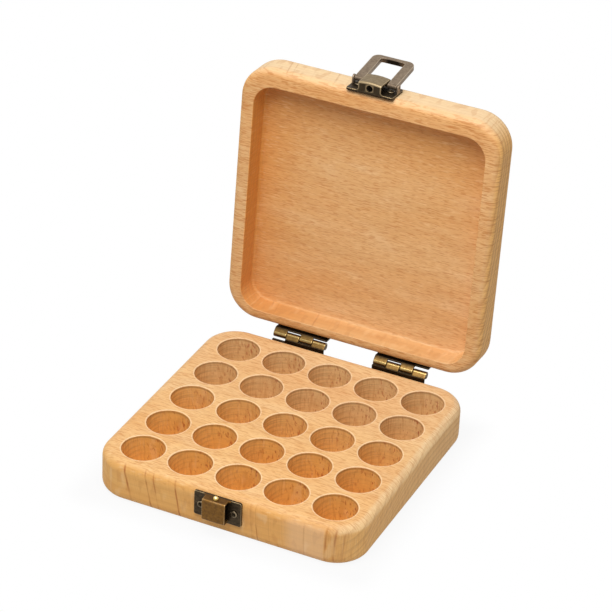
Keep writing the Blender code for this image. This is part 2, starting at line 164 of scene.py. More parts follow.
# %% Shader maths
class Wire:
    """A shader socket that arithmetic can be written with."""

    def __init__(self, graph, socket):
        self.graph = graph
        self.socket = socket

    def __add__(self, other):
        return self.graph.maths("ADD", self, other)

    __radd__ = __add__

    def __sub__(self, other):
        return self.graph.maths("SUBTRACT", self, other)

    def __rsub__(self, other):
        return self.graph.maths("SUBTRACT", other, self)

    def __neg__(self):
        return 0 - self

    def __mul__(self, other):
        return self.graph.maths("MULTIPLY", self, other)

    __rmul__ = __mul__

    def __truediv__(self, other):
        return self.graph.maths("DIVIDE", self, other)

    def __pow__(self, other):
        return self.graph.maths("POWER", self, other)

    def __abs__(self):
        return self.graph.maths("ABSOLUTE", self)

    def maximum(self, other):
        return self.graph.maths("MAXIMUM", self, other)

    def above(self, low, high):
        """0 below low, 1 above high, with a soft step between."""
        settings = {"interpolation_type": "SMOOTHSTEP"}
        return self.graph.add("ShaderNodeMapRange", settings, {"Value": self, 1: low, 2: high})


class Graph:
    """The nodes of a material or of the sky, which end in one shader."""

    def __init__(self, holder, shader="ShaderNodeBsdfPrincipled", output="ShaderNodeOutputMaterial"):
        holder.use_nodes = True
        self.holder = holder
        self.tree = holder.node_tree
        self.tree.nodes.clear()
        self.shader = self.tree.nodes.new(shader)
        self.output = self.tree.nodes.new(output)
        self.fill(self.output, {"Surface": Wire(self, self.shader.outputs[0])})

    def add(self, kind, settings=None, values=None, output=0):
        """A node of that kind, with its settings made first, then its sockets filled or linked.

        output is the socket that is wanted, or a tuple of several.
        """
        node = self.tree.nodes.new(kind)
        for name, value in (settings or {}).items():
            setattr(node, name, value)
        self.fill(node, values or {})
        if isinstance(output, tuple):
            return [Wire(self, node.outputs[name]) for name in output]
        return Wire(self, node.outputs[output])

    def fill(self, node, values):
        """Puts numbers, colours or wires into a node's sockets."""
        for name, value in values.items():
            if isinstance(value, Wire):
                self.tree.links.new(value.socket, node.inputs[name])
            else:
                node.inputs[name].default_value = value

    def maths(self, operation, *values):
        """Up to three values through one Math node."""
        return self.add("ShaderNodeMath", {"operation": operation}, dict(enumerate(values)))

    def mix(self, share, first, second, how="MIX"):
        """Two colours, mixed by a share."""
        settings = {"data_type": "RGBA", "blend_type": how}
        return self.add("ShaderNodeMix", settings, {0: share, 6: first, 7: second}, output=2)

    def layered(self, colour, layers):
        """A colour with others laid over it in turn, each by its share."""
        for share, over in layers:
            colour = self.mix(share, colour, over)
        return colour

    def scaled(self, place, *factors):
        """A place with each of its three numbers multiplied."""
        return self.add("ShaderNodeVectorMath", {"operation": "MULTIPLY"}, {0: place, 1: factors})

    def noise(self, place, scale=1.0, detail=2.0, roughness=0.5):
        """Fractal noise about one half, at a place that is already stretched as the pattern needs."""
        values = {"Vector": place, "Scale": scale, "Detail": detail, "Roughness": roughness}
        return self.add("ShaderNodeTexNoise", {}, values)

    def attribute(self, name):
        """A number that the mesh carries for every point."""
        return self.add("ShaderNodeAttribute", {"attribute_name": name}, output="Fac")

    def apart(self, vector):
        """The three numbers of a vector."""
        return self.add("ShaderNodeSeparateXYZ", {}, {0: vector}, output=("X", "Y", "Z"))

    def together(self, x, y, z):
        """A vector from three numbers."""
        return self.add("ShaderNodeCombineXYZ", {}, {0: x, 1: y, 2: z})

    def painted(self, colour, roughness, height, strength, depth, metallic=0.0):
        """The finished material, with a bump from a height."""
        normal = self.add("ShaderNodeBump", {}, {"Height": height, "Strength": strength, "Distance": depth})
        values = {"Base Color": colour, "Roughness": roughness, "Normal": normal, "Metallic": metallic}
        self.fill(self.shader, values)
        return self.holder


def rgb(red, green, blue):
    """A colour given as a screen shows it, from 0 to 255, made linear for the shader."""
    shares = [value / 255 for value in (red, green, blue)]
    linear = [share / 12.92 if share <= 0.04045 else ((share + 0.055) / 1.055) ** 2.4 for share in shares]
    return (*linear, 1.0)


print("a mid brown is", [round(value, 3) for value in rgb(150, 110, 70)])

# %% [markdown]
# The blocks are beech, and one solid pattern serves every face, as in real timber. The fibres run from left
# to right, and the growth rings are wide arcs that lie nearly flat. So the broad faces show soft bands, and
# the left and right ends show the rings as thin stacked lines. Beech is known by its rays, thin ribbons that
# stand upright through the rings. The broad faces cut them across, as short dark dashes along the fibres. The
# front, the back and the bores cut them along, as upright brown streaks. A noise that is stretched as the
# ribbons are gives both. The lid's pattern is turned with the lid by a Mapping node, so it fits the shut box.
# The colour is then laid on in thin layers, each with a mask that says where it shows.

# %% Beech
def closed_place(graph, angle, axis):
    """Object coordinates in millimetres, turned back to the shut box, and the surface's direction there."""
    place, facing = graph.add("ShaderNodeTexCoord", output=("Object", "Normal"))
    shift = Vector(axis) - Matrix.Rotation(-angle, 3, "X") @ Vector(axis)
    back = (-angle, 0, 0)
    values = {"Vector": place, "Location": shift, "Rotation": back}
    place = graph.add("ShaderNodeMapping", {"vector_type": "POINT"}, values)
    facing = graph.add("ShaderNodeMapping", {"vector_type": "VECTOR"}, {"Vector": facing, "Rotation": back})
    return graph.scaled(place, 1 / mm, 1 / mm, 1 / mm), facing


def beech(name, angle, axis, heart, tones, ring_share, streak_share, walls, sheen_and_pale_share, painted_light_share, bold_rays):
    """Beech whose rings are arcs about a far line along X; heart is that line's y and z in millimetres.

    The tones are the pale wood, the deep wood and a tint for the front and back, partly their grain and
    partly painted shade of these less lit faces. The walls are a near tone, a far tone and a share, laid on
    by the mesh's cut value: 1 in a bore, where the tint is partly the fresh cut and partly painted bounce
    light, and under a half in the lid's pocket, where it is painted shade. The sheen and pale share lays a
    painted sheen on the top's right edge, a paler tone towards the back and right, and a pale patch on the
    front. The painted light share is a paler tone on the front side, painted light where it faces up on the
    open lid. Each bold ray is a place along the front, a width and a strength. The rays fan out a little:
    their lean is a straight function of the place along the front. All places are in millimetres on the shut
    box.
    """
    graph = Graph(bpy.data.materials.new(name))
    place, facing = closed_place(graph, angle, axis)
    x, y, z = graph.apart(place)
    facing_x, facing_y, facing_z = graph.apart(facing)
    wear, cut = graph.attribute("wear"), graph.attribute("cut")

    def grain(length, width, height, shift=0.0, detail=1.0, fade=None, roughness=0.5, start=x):
        """Noise stretched by three sizes and moved across the fibres; fade's two levels make it a mask."""
        spot = graph.together(start / length, y / width + shift, z / height)
        noise = graph.noise(spot, detail=detail, roughness=roughness)
        return noise.above(*fade) if fade else noise

    # The rings: distance from the heart, with the late wood as a dark line that ends sharply outwards.
    stray = grain(48, 22, 22, detail=2.0) - 0.5
    out = ((y - heart[0]) ** 2 + (z - heart[1]) ** 2) ** 0.5 + stray * 5.0
    uneven = graph.noise(graph.together(out / 8, x / 400, 5.1), detail=1.0)
    turn = graph.maths("FRACT", out / 2.7 + uneven * 1.6)
    late_wood = turn.above(0.35, 0.92) * (1 - turn.above(0.93, 1.0))
    band = graph.noise(graph.together(x / 150, y / 260, out / 4.5), detail=3.0, roughness=0.6)

    # Wide soft tones, the fibres, and the rays cut across, which the broad faces show.
    cloud = grain(60, 24, 30, detail=2.0)
    wash = grain(34, 11, 30, 5.5, 3.0, (0.52, 0.74))
    fibre = grain(7, 0.42, 0.42, detail=2.0, roughness=0.6)
    ray = grain(3.6, 0.46, 8, x * 0.05, fade=(0.53, 0.64))
    vein = grain(8, 0.36, 7, 11.3, fade=(0.55, 0.68))
    fleck = grain(2.2, 0.6, 3, 3.7, fade=(0.68, 0.77))
    shine = grain(4.0, 0.6, 9, 31.7, fade=(0.54, 0.72))

    # The rays cut along, which the front, the back and the bores show, and the drill's rings in the bores.
    along = x + (z - 10) * (0.11 - x * 0.0025) + stray * 2.0
    upright = grain(0.60, 12, 60, 0.0, 2.0, (0.40, 0.80), start=along)
    streak = grain(1.0, 8, 40, 7.3, 0.0, (0.70, 0.78), start=along)
    red = grain(0.85, 6, 2.4, fade=(0.58, 0.68), start=along)
    drilled = grain(30, 30, 0.40, fade=(0.44, 0.70))
    broken = graph.noise(graph.together(x / 2.5, y / 40, z / 6 + 2.9), detail=1.0).above(0.30, 0.62)
    bold = cut * 0
    for ray_place, width, strength in bold_rays:
        bold = bold.maximum((1 - abs(along - ray_place) / width) * strength)
    bold = bold * (0.30 + broken * 0.85)

    # Where each layer shows: by the way the surface faces, then by its place on the shut box.
    end_grain = abs(facing_x).above(0.30, 0.95)
    ray_face = abs(facing_y).above(0.35, 0.95)
    broad_face = 1 - ray_face
    corner = facing_x.above(0.12, 0.55) * facing_z.above(0.05, 0.45)
    front_side = (-facing_y).above(0.25, 1.0) * (-y).above(-10, 10)
    back_right = (x * 0.4 + y * 1.2).above(-60, 90)
    bored = (cut - 0.5).maximum(0) * 2
    whole = 1 - bored
    ringed = end_grain * (1 - cut * whole * 1.7)
    lid_rim = z.above(19.1, 19.25) * (1 - z.above(21, 24))
    patch = along.above(27, 34) * (1 - along.above(46.6, 48)) * (-facing_y).above(0.6, 1.0) * whole
    drill_share = (0.10 + facing_x.above(0.1, 0.8) * 0.20) * y.above(-60, 10)

    colour = graph.mix((band - 0.30) * 2.0, tones[0], tones[1])
    colour = graph.mix((cloud - 0.40) * 1.4, colour, rgb(226, 162, 94))
    colour = graph.mix(wash * 0.30, colour, rgb(238, 206, 160))
    # The front and back tint is partly their grain and partly painted shade of these less lit faces.
    colour = graph.mix(ray_face, colour, tones[2], how="MULTIPLY")
    colour = graph.layered(colour, (
        (end_grain * 0.8, rgb(255, 197, 114)),
        # A painted sheen on the base's top right edge.
        (corner * sheen_and_pale_share, rgb(255, 230, 184)),
        # Painted light on the front side, which faces up on the open lid.
        (front_side * painted_light_share, rgb(255, 240, 200)),
        (back_right * sheen_and_pale_share * 0.5, rgb(228, 210, 178)),
        # The wall tint is partly the fresh cut and partly painted bounce light in the bores, and painted
        # shade in the lid's pocket.
        (cut * walls[2], graph.mix(y.above(-8, 34), walls[0], walls[1])),
        (fibre.above(0.35, 0.80) * 0.26, rgb(208, 148, 86)),
        (late_wood * (0.08 + ringed * ring_share), rgb(168, 106, 56)),
        (shine * 0.26 * (1 - end_grain * 0.6), rgb(248, 212, 160)),
        (lid_rim * (-y).above(50, 54) * 0.22, rgb(236, 160, 80)),
        (ray * (0.48 + lid_rim * 0.15) * (1 - end_grain * 0.5) * (1 - ray_face * 0.5), rgb(188, 118, 52)),
        (vein * (0.28 + lid_rim * 0.32) * broad_face, rgb(188, 112, 48)),
        (fleck * 0.22 * broad_face, rgb(186, 104, 46)),
        (upright * ray_face * streak_share * 1.14, rgb(190, 120, 56)),
        (streak * ray_face * whole * streak_share, rgb(176, 104, 44)),
        (patch * sheen_and_pale_share * 0.52, rgb(250, 222, 192)),
        (bold * ray_face * whole, rgb(172, 96, 32)),
        (red * ray_face * bored * (0.52 - facing_x * 0.50), rgb(172, 68, 24)),
        (drilled * bored * drill_share, rgb(142, 96, 60)),
        # Pale and dark wear: painted highlights and painted shade at the bores' mouths and in the lid's
        # pocket.
        (wear.maximum(0) * 0.50, rgb(255, 230, 190)),
        ((-wear).maximum(0) * 0.55, rgb(140, 84, 40)),
    ))
    height = fibre * 0.5 - ray * 0.35 - late_wood * 0.25 - drilled * bored * 0.5
    rough = 0.52 + fibre * 0.16 - shine * 0.06 + end_grain * 0.08
    return graph.painted(colour, rough, height, 0.35, 0.06 * mm)


front_rays = (
    (-42.7, 0.65, 0.95), (-33.2, 0.55, 0.80), (-29.5, 0.50, 0.60), (-19.6, 0.60, 0.85), (14.6, 0.80, 0.30),
    (16.9, 0.42, 0.75), (38.3, 0.50, 0.30), (47.9, 0.70, 0.60), (51.5, 0.70, 0.70), (54.7, 0.55, 0.60),
)
lid_rays = ((-37.5, 0.50, 0.36), (-35.0, 0.40, 0.30), (-16.5, 0.60, 0.45))
base_beech = beech(
    "base_beech", 0.0, (0, 0, 0), heart=(30.0, -150.0),
    tones=(rgb(242, 199, 139), rgb(230, 179, 112), rgb(252, 236, 196)), ring_share=0.16, streak_share=0.14,
    walls=(rgb(248, 196, 104), rgb(238, 208, 152), 0.62), sheen_and_pale_share=0.44, painted_light_share=0.0, bold_rays=front_rays,
)
lid_beech = beech(
    "lid_beech", open_angle, lid_axis, heart=(-45.0, -180.0),
    tones=(rgb(232, 188, 132), rgb(214, 161, 100), rgb(255, 250, 240)), ring_share=0.36, streak_share=0.05,
    walls=(rgb(214, 142, 58), rgb(214, 142, 58), 2.0), sheen_and_pale_share=0.0, painted_light_share=0.50, bold_rays=lid_rays,
)
print("beech nodes:", len(base_beech.node_tree.nodes))

# %% [markdown]
# Pieces are surfaces worked out on grids of points with numpy. A Skin collects such grids: each one is an
# array of rows and columns of points, its cells become four-sided faces, and grids that share an edge are
# welded into one closed mesh. Two numbers go with every point, and materials read them as attributes. The
# wear value is bright above 0 and dark below; it carries real wear and grime, and also painted highlights
# and painted shade on the bores' mouths, in the lid's pocket, on the knuckles, the bail, the nib and the
# screws. The cut value marks walls that a tool has made in the wood, and in the lid's pocket it is painted
# shade.

# %% Grids of points into one mesh
weld = 0.0005 * mm
cap_shares = (0, 0.02, 0.3, 0.65, 1)


def arc(start, end, steps):
    """Angles from start to end in degrees, as radians."""
    return np.radians(np.linspace(start, end, steps + 1))


def rounded(start, end, size, steps):
    """A round edge in steps: each angle, how far it is drawn in, and how far it rises above its middle."""
    return [(angle, size * (1 - math.cos(angle)), size * math.sin(angle)) for angle in arc(start, end, steps)]


def towards(loop, target, shares):
    """Rows of loops that go from one loop to another by these shares of the way."""
    shares = np.array(shares)[:, None, None]
    return loop[None] * (1 - shares) + target[None] * shares


def to_middle(loop, shares=cap_shares):
    """Rows of loops that close a flat face by shrinking to its middle."""
    return towards(loop, np.broadcast_to(loop.mean(axis=0), loop.shape), shares)


class Skin:
    """Grids of points that are welded into one closed mesh."""

    def __init__(self):
        self.points = []
        self.faces = []
        self.values = {"wear": [], "cut": []}
        self.count = 0

    def add(self, grid, wear=0.0, cut=0.0):
        """Adds rows of points, each joined to its own start, with values for all, by row or by point."""
        rows, columns = grid.shape[:2]
        index = np.arange(rows * columns).reshape(rows, columns) + self.count
        after = np.roll(index, -1, axis=1)
        self.faces.append(np.stack([index[:-1], after[:-1], after[1:], index[1:]], axis=-1).reshape(-1, 4))
        self.points.append(grid.reshape(-1, 3))
        for name, value in (("wear", wear), ("cut", cut)):
            value = np.asarray(value, float)
            value = value[:, None] if value.ndim == 1 else value
            self.values[name].append(np.broadcast_to(value, (rows, columns)).reshape(-1))
        self.count += rows * columns
        return self

    def add_capped(self, grid, wear=0.0, end=0.0, shares=cap_shares):
        """Adds rows of points and closes the first row and the last with flat faces."""
        self.add(grid, wear)
        for row in (grid[0], grid[-1]):
            self.add(to_middle(row, shares), end)
        return self

    def shape(self, name, move):
        """Welds the grids into an object, with its faces pointing outwards."""
        mesh = bpy.data.meshes.new(name)
        mesh.from_pydata(move(np.concatenate(self.points)), [], np.concatenate(self.faces))
        for kind, values in self.values.items():
            attribute = mesh.attributes.new(kind, "FLOAT", "POINT")
            attribute.data.foreach_set("value", np.concatenate(values).astype(np.float32))
        bm = bmesh.new()
        bm.from_mesh(mesh)
        bmesh.ops.remove_doubles(bm, verts=bm.verts, dist=weld)
        bmesh.ops.recalc_face_normals(bm, faces=bm.faces)
        loose = sum(1 for edge in bm.edges if len(edge.link_faces) != 2)
        bm.to_mesh(mesh)
        bm.free()
        mesh.shade_smooth()
        print(name, "faces", len(mesh.polygons), "open edges", loose)
        return linked(name, mesh)

    def build(self, name, body, material, stands_for, slot):
        """Makes the piece in its body's place, gives it its material, and lets it ride on the body."""
        piece = self.shape(name, moves[body])
        piece.data.materials.append(material)
        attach(piece, body)
        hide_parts(*stands_for)
        return piece


# %% [markdown]
# Both blocks share one outline: a square with round corners. The outline is a loop of points that starts in
# the middle of a corner, so that loops of other sizes match it point by point and can be joined by faces.

# %% Outlines with round corners
side_cells = 5
cell_side = 16
side_points = side_cells * cell_side


def round_outline(half_x, half_y, radius, middle=(0.0, 0.0), count=side_points, corner=cell_side):
    """A loop round a rectangle with corners of one radius, each side from the middle of a corner to the next.

    A side has half a corner's arc, a straight run, and half of the next corner's arc.
    """
    loop = []
    for side, (reach, along) in enumerate([(half_x, half_y), (half_y, half_x)] * 2):
        first = arc(-45, 0, corner // 2)[:-1]
        last = arc(0, 45, corner // 2)[:-1]
        run = np.linspace(-(along - radius), along - radius, count - corner + 1)[:-1]
        across = [reach - radius + radius * np.cos(first), np.full(len(run), reach)]
        across.append(reach - radius + radius * np.cos(last))
        up = [-(along - radius) + radius * np.sin(first), run, along - radius + radius * np.sin(last)]
        across, up = np.concatenate(across), np.concatenate(up)
        turn = side * math.pi / 2
        x = across * math.cos(turn) - up * math.sin(turn)
        y = across * math.sin(turn) + up * math.cos(turn)
        loop.append(np.stack([x, y], axis=-1))
    return np.concatenate(loop) + np.array(middle)


def at_height(loop, z):
    """A flat loop lifted to a height."""
    return np.column_stack([loop, np.full(len(loop), z)])


def stacked(levels, half_x, half_y, corner, middle=(0.0, 0.0)):
    """Rows of outlines, one for each level: how much the outline grows there, and its height."""
    loops = [(round_outline(half_x + grow, half_y + grow, corner + grow, middle), z) for grow, z in levels]
    return np.array([at_height(loop, z) for loop, z in loops])


def block_side(half_x, half_y, corner, low, high, low_round, high_round, steps=8):
    """Rows of loops down a block's side: over the upper round, down the side, and under the lower round."""
    upper, lower = high - high_round, low + low_round
    levels = [(-inset, upper + rise) for _, inset, rise in rounded(90, 0, high_round, steps)]
    levels += [(0.0, upper * (1 - share) + lower * share) for share in (0.04, 0.96)]
    levels += [(-inset, lower + rise) for _, inset, rise in rounded(0, -90, low_round, steps)]
    return stacked(levels, half_x, half_y, corner)


# %% [markdown]
# The base's top is the one face that takes thought: 25 round mouths in one flat face. Each bore gets a square
# cell, and rows of points run from the cell's edge to the mouth and on down the bore. Neighbours share their
# cell edges. At the rim of the grid the cells stop a little short of the pitch, and the corner cells turn
# with their bore, so the whole grid fits inside the round corners of the top.

# %% Base block
half_x, half_y = base_high[0], base_high[1]
corner_radius = 15.0 * mm
base_top_round = 4.2 * mm
base_foot_round = 4.0 * mm
bore_radius = 9.25 * mm
bore_depth = 15.0 * mm
bore_lip = 0.35 * mm
bore_floor_round = 0.5 * mm
grid_margin = bore_radius + 1.05 * mm
cell_angles = np.radians(-45 + np.arange(4 * cell_side) * 90 / cell_side)
cell_ring = np.stack([np.cos(cell_angles), np.sin(cell_angles)], axis=-1)


def cell_edge(column, row):
    """A cell's edge about its bore: square, drawn in where the grid ends, and round at the grid's corners."""
    last = side_cells - 1
    ends = (column == 0, column == last, row == 0, row == last)
    left, right, front, back = (grid_margin if end else bore_pitch / 2 for end in ends)
    x, y = cell_ring.T
    reach = np.stack([np.where(x > 0, right, left), np.where(y > 0, back, front)], axis=-1)
    turns = (reach == grid_margin).all(axis=1, keepdims=True)
    longest = np.maximum(abs(x), abs(y))[:, None]
    return np.where(turns, cell_ring * grid_margin, cell_ring / longest * reach)


def bore_rows(edge, top, floor):
    """Rows from a cell's edge to the mouth, round the lip, down the wall, round the foot and to the middle.

    Each ring is a radius, a height and a wear value: a painted highlight on the mouth's edge, and painted
    shade just under it and round the floor's edge. The cut value starts below the lip.
    """
    mouth = bore_radius + bore_lip
    rings = [(mouth * 1.04, top, 0.0), (mouth * 1.008, top, 0.9)]
    for angle, inset, rise in rounded(90, 0, bore_lip, 4):
        rings.append((bore_radius + inset, top - bore_lip + rise, 1.7 * math.sin(angle) - 0.7))
    wall = top - floor - bore_lip - bore_floor_round
    for share, wear in ((0.03, -1.0), (0.08, 0.0), (0.5, 0.0), (0.97, 0.0)):
        rings.append((bore_radius, top - bore_lip - wall * share, wear))
    for angle, inset, rise in rounded(0, 90, bore_floor_round, 3):
        rings.append((bore_radius - inset, floor + bore_floor_round - rise, -0.5 * math.sin(angle)))
    rings += [((bore_radius - bore_floor_round) * share, floor, 0.0) for share in (0.97, 0.5, 0)]
    rows = [at_height(edge, top)] + [at_height(cell_ring * radius, z) for radius, z, _ in rings]
    wear = [0.0] + [wear for _, _, wear in rings]
    cut = (np.arange(len(rows)) > 6).astype(float)
    return np.array(rows), wear, cut


def base_skin():
    """The base: its sides and underside, the flat rim of its top, and a patch for each bore."""
    skin = Skin()
    sides = block_side(half_x, half_y, corner_radius, 0.0, top_height, base_foot_round, base_top_round)
    skin.add(sides).add(to_middle(sides[-1]))
    edges = {}
    for column in range(side_cells):
        for row in range(side_cells):
            middle = np.array(grid_centre[:2]) + bore_pitch * (np.array([column, row]) - (side_cells - 1) / 2)
            rows, wear, cut = bore_rows(cell_edge(column, row), top_height, top_height - bore_depth)
            rows[..., :2] += middle
            skin.add(rows, wear, cut)
            edges[column, row] = rows[0]
    last, cells = side_cells - 1, range(side_cells)
    around = [(last, k) for k in cells] + [(last - k, last) for k in cells]
    around += [(0, last - k) for k in cells] + [(k, 0) for k in cells]
    starts = [number // side_cells * cell_side for number in range(len(around))]
    rim = [edges[cell][start:start + cell_side] for cell, start in zip(around, starts)]
    return skin.add(towards(sides[0], np.concatenate(rim), (0, 0.15, 1)))


base_skin().build("base", "base", base_beech, stands_for=["base_block"], slot="beech")

# %% [markdown]
# The lid is the same block with one pocket. Its rim is the flat face between two matching loops. Everything
# is worked out for the shut lid and then carried open, so the sizes stay the plain ones of the block. The
# pocket's walls and the floor near them are painted warmer and darker at its front and left as painted shade,
# where light is thrown from wall to wall, and its back is painted a little paler as painted light.

# %% Lid block
parting_gap = 0.3 * mm
lid_foot = top_height + parting_gap
lid_height = 17.0 * mm
lid_rim_round = 3.3 * mm
lid_outer_round = 5.0 * mm
pocket_side_wall = 6.8 * mm
pocket_front_wall = 8.2 * mm
pocket_back_wall = 5.1 * mm
pocket_corner = 9.6 * mm
pocket_depth = 11.6 * mm
pocket_lip = 0.35 * mm
pocket_floor_round = 1.2 * mm


def pocket_rows():
    """Rows from the pocket's mouth round its lip, up its walls and round the floor's edge."""
    floor = lid_foot + pocket_depth
    levels = [(inset, lid_foot + pocket_lip - rise) for _, inset, rise in rounded(90, 0, pocket_lip, 4)]
    levels += [(0.0, lid_foot + pocket_lip * 1.5), (0.0, floor - pocket_floor_round * 1.2)]
    edge = rounded(0, 90, pocket_floor_round, 6)
    levels += [(-inset, floor - pocket_floor_round + rise) for _, inset, rise in edge]
    half_depth = half_y - (pocket_front_wall + pocket_back_wall) / 2
    middle = (0.0, (pocket_front_wall - pocket_back_wall) / 2)
    return stacked(levels, half_x - pocket_side_wall, half_depth, pocket_corner, middle)


def lid_skin():
    """The lid: its sides, its flat outside, its rim and its pocket.

    Each point of the pocket's loop has a place from -1 to 1 both ways. Walls and shade are how far it lies to
    the front or the left; they give the cut value, here a painted shade, which grows down the walls and fades
    over the floor. Light is how far it lies to the back, and gives a little painted light there through the
    wear value.
    """
    skin = Skin()
    lid_top = lid_foot + lid_height
    sides = block_side(half_x, half_y, corner_radius, lid_foot, lid_top, lid_rim_round, lid_outer_round)
    pocket = pocket_rows()
    skin.add(sides).add(to_middle(sides[0])).add(towards(sides[-1], pocket[0], (0, 0.06, 0.94, 1)))
    x, y = (pocket[-1, :, :2] / np.abs(pocket[-1, :, :2]).max(axis=0)).T
    walls = np.clip(np.maximum(-y, -0.95 * x), 0, 1)
    shade = np.clip(np.maximum(-y, -0.75 * x), 0, 1) ** 1.3
    light = np.clip(y, 0, 1)
    down = np.interp(np.arange(len(pocket)), (0, 5), (0, 0.48))[:, None]
    skin.add(pocket, light[None] * 0.15, down * walls)
    shares = np.array((0, 0.02, 0.06, 0.12, 0.2, 0.3, 0.45, 0.65, 1))
    fade = np.array((0.48, 0.47, 0.43, 0.38, 0.32, 0.24, 0.12, 0.03, 0))[:, None]
    return skin.add(to_middle(pocket[-1], shares), light[None] * (1 - shares[:, None]) * 0.14, fade * shade)


lid_skin().build("lid", "lid", lid_beech, stands_for=["lid_block"], slot="beech")

# %% [markdown]
# The hardware is stamped sheet brass with a dark antique plating. On the flats the plating is mottled brown
# or grey, and along edges and folds, where hands and the tumbling barrel rub it away, the brass shines
# through. One function makes all of these finishes: patches from noise, bright metal where the wear
# attribute is above 0, and dark where it is below. Besides real wear and grime, that attribute carries
# painted highlights and painted shade on the knuckles, the bail, the nib and the screws.

# %% Plated brass
def plated(name, dark, body, bright, patches=0.5, rough=0.36, texture=0.30):
    """Brass with patches of dark plating on a body colour, and bright metal along worn edges.

    The bright metal also marks painted highlights, and below 0 the wear value darkens it as grime and painted
    shade.
    """
    graph = Graph(bpy.data.materials.new(name))
    place = graph.scaled(graph.add("ShaderNodeTexCoord", output="Object"), 1 / mm, 1 / mm, 1 / mm)
    wear = graph.attribute("wear")
    patch = graph.noise(place, 0.75, detail=4.0, roughness=0.6)
    speck = graph.noise(place, 4.5)
    scratch = graph.noise(graph.scaled(place, 0.6, 6.0, 6.0))
    # Rubbed is real wear and painted highlights, and grime is real grime and painted shade.
    rubbed_and_painted_highlight = (wear.maximum(0) * (0.35 + patch * 1.2)).above(0.25, 0.80)
    grime_and_painted_light = (-wear).maximum(0)
    colour = graph.layered(graph.mix(patch.above(0.38, 0.66) * patches, body, dark), (
        (speck.above(0.55, 0.72) * 0.30, dark),
        (scratch.above(0.60, 0.75) * 0.16, bright),
        (rubbed_and_painted_highlight, bright),
        (grime_and_painted_light * 0.8, rgb(30, 24, 18)),
    ))
    roughness = rough + patch * 0.16 - rubbed_and_painted_highlight * 0.08 + grime_and_painted_light * 0.2
    return graph.painted(colour, roughness, patch * 0.7 + speck * 0.3, texture, 0.04 * mm, metallic=1.0)


# The body colours differ by part as painted reflection: the keeper's boss, which faces the front, is browner
# and darker, the lid's boss and the bail, which face up, are paler and greyer, and the knuckles are darkened
# for the brown wood around them that they reflect.
dark_plate = plated("dark_plate", rgb(38, 31, 24), rgb(72, 60, 45), rgb(190, 164, 122), 0.6, 0.36)
brown_boss = plated("brown_boss", rgb(84, 58, 36), rgb(124, 88, 42), rgb(206, 172, 122), 0.55, 0.40)
tan_boss = plated("tan_boss", rgb(104, 88, 64), rgb(146, 127, 97), rgb(226, 204, 164), 0.45, 0.42)
grey_bail = plated("grey_bail", rgb(100, 84, 70), rgb(146, 128, 108), rgb(216, 198, 172), 0.5, 0.42)
gold_knuckle = plated("gold_knuckle", rgb(62, 44, 24), rgb(108, 82, 44), rgb(170, 144, 92), 0.4, 0.22, 0.05)
dark_screw = plated("dark_screw", rgb(48, 40, 30), rgb(92, 78, 58), rgb(158, 140, 112), 0.5, 0.34)
clean_brass = plated("clean_brass", rgb(124, 96, 42), rgb(198, 166, 88), rgb(250, 232, 166), 0.4, 0.20)
print("nodes in a metal finish:", len(dark_plate.node_tree.nodes))

# %% [markdown]
# Sheet metal is a thin section carried along a path. The section is a flat rectangle with round edges. The
# path runs straight and bends, as the sheet does over the tool. So a folded boss, a rolled hinge knuckle and
# the arms of the bail are all one idea: a loop of points, swept. A flat stamping is an outline carried
# through the sheet, and a pin, a nib or a screw is a profile turned about its axis.

# %% Sections, folded paths, stampings and turned pieces
def section_shares(steps=4):
    """The section's loop for any size: corner signs, directions round a corner, and 1 on round edges."""
    rows = []
    signs = [(1, -1), (1, 1), (-1, 1), (-1, -1), (1, -1)]
    for quarter in range(4):
        (x, y), (next_x, next_y) = signs[quarter], signs[quarter + 1]
        for angle in arc(quarter * 90 - 90, quarter * 90, steps):
            rows.append((x, y, math.cos(angle), math.sin(angle), 1.0))
        for share in (0.05, 0.3, 0.5, 0.7, 0.95):
            run = (x + (next_x - x) * share, y + (next_y - y) * share)
            rows.append((*run, math.cos(angle), math.sin(angle), 0.0))
    return np.array(rows).T


sign_x, sign_y, way_x, way_y, on_edge = section_shares()


def section(half_across, half_through, edge):
    """Loops round rectangles with round edges: how far across and through each point lies, row by row.

    A corner's middle is its sign times half the side less the edge's radius, and the edge turns about it.
    """
    half_across, half_through, edge = np.broadcast_arrays(half_across, half_through, edge)
    across = (half_across - edge)[:, None] * sign_x + edge[:, None] * way_x
    through = (half_through - edge)[:, None] * sign_y + edge[:, None] * way_y
    return across, through


def folded(corners, bend, steps=6, near=0.12 * mm):
    """A path of straight runs with round bends: its points, and the way it faces, as left of its heading.

    A bend starts bend times the tangent of half its angle before the corner. There the heading turns step by
    step, and each point is the start plus bend times the change of the left-hand direction.
    """
    corners = np.array(corners, float)
    heading = np.diff(corners, axis=0)
    heading /= np.linalg.norm(heading, axis=1)[:, None]
    left = np.stack([-heading[:, 1], heading[:, 0]], axis=-1)
    points, facing = [corners[:1], corners[:1] + near * heading[0]], [left[:1], left[:1]]
    for k in range(1, len(corners) - 1):
        turn = math.atan2(heading[k - 1] @ left[k] * -1, heading[k - 1] @ heading[k])
        start = corners[k] - heading[k - 1] * bend * math.tan(abs(turn) / 2)
        end = corners[k] + heading[k] * bend * math.tan(abs(turn) / 2)
        angles = np.linspace(0, turn, steps + 1)
        cosine, sine = np.cos(angles), np.sin(angles)
        x, y = left[k - 1]
        turned = np.stack([x * cosine - y * sine, x * sine + y * cosine], axis=-1)
        arc_points = start + math.copysign(bend, turn) * (left[k - 1] - turned)
        points += [start[None] - near * heading[k - 1], arc_points, end[None] + near * heading[k]]
        facing += [left[k - 1:k], turned, left[k:k + 1]]
    points += [corners[-1:] - near * heading[-1], corners[-1:]]
    facing += [left[-1:], left[-1:]]
    return np.concatenate(points), np.concatenate(facing)


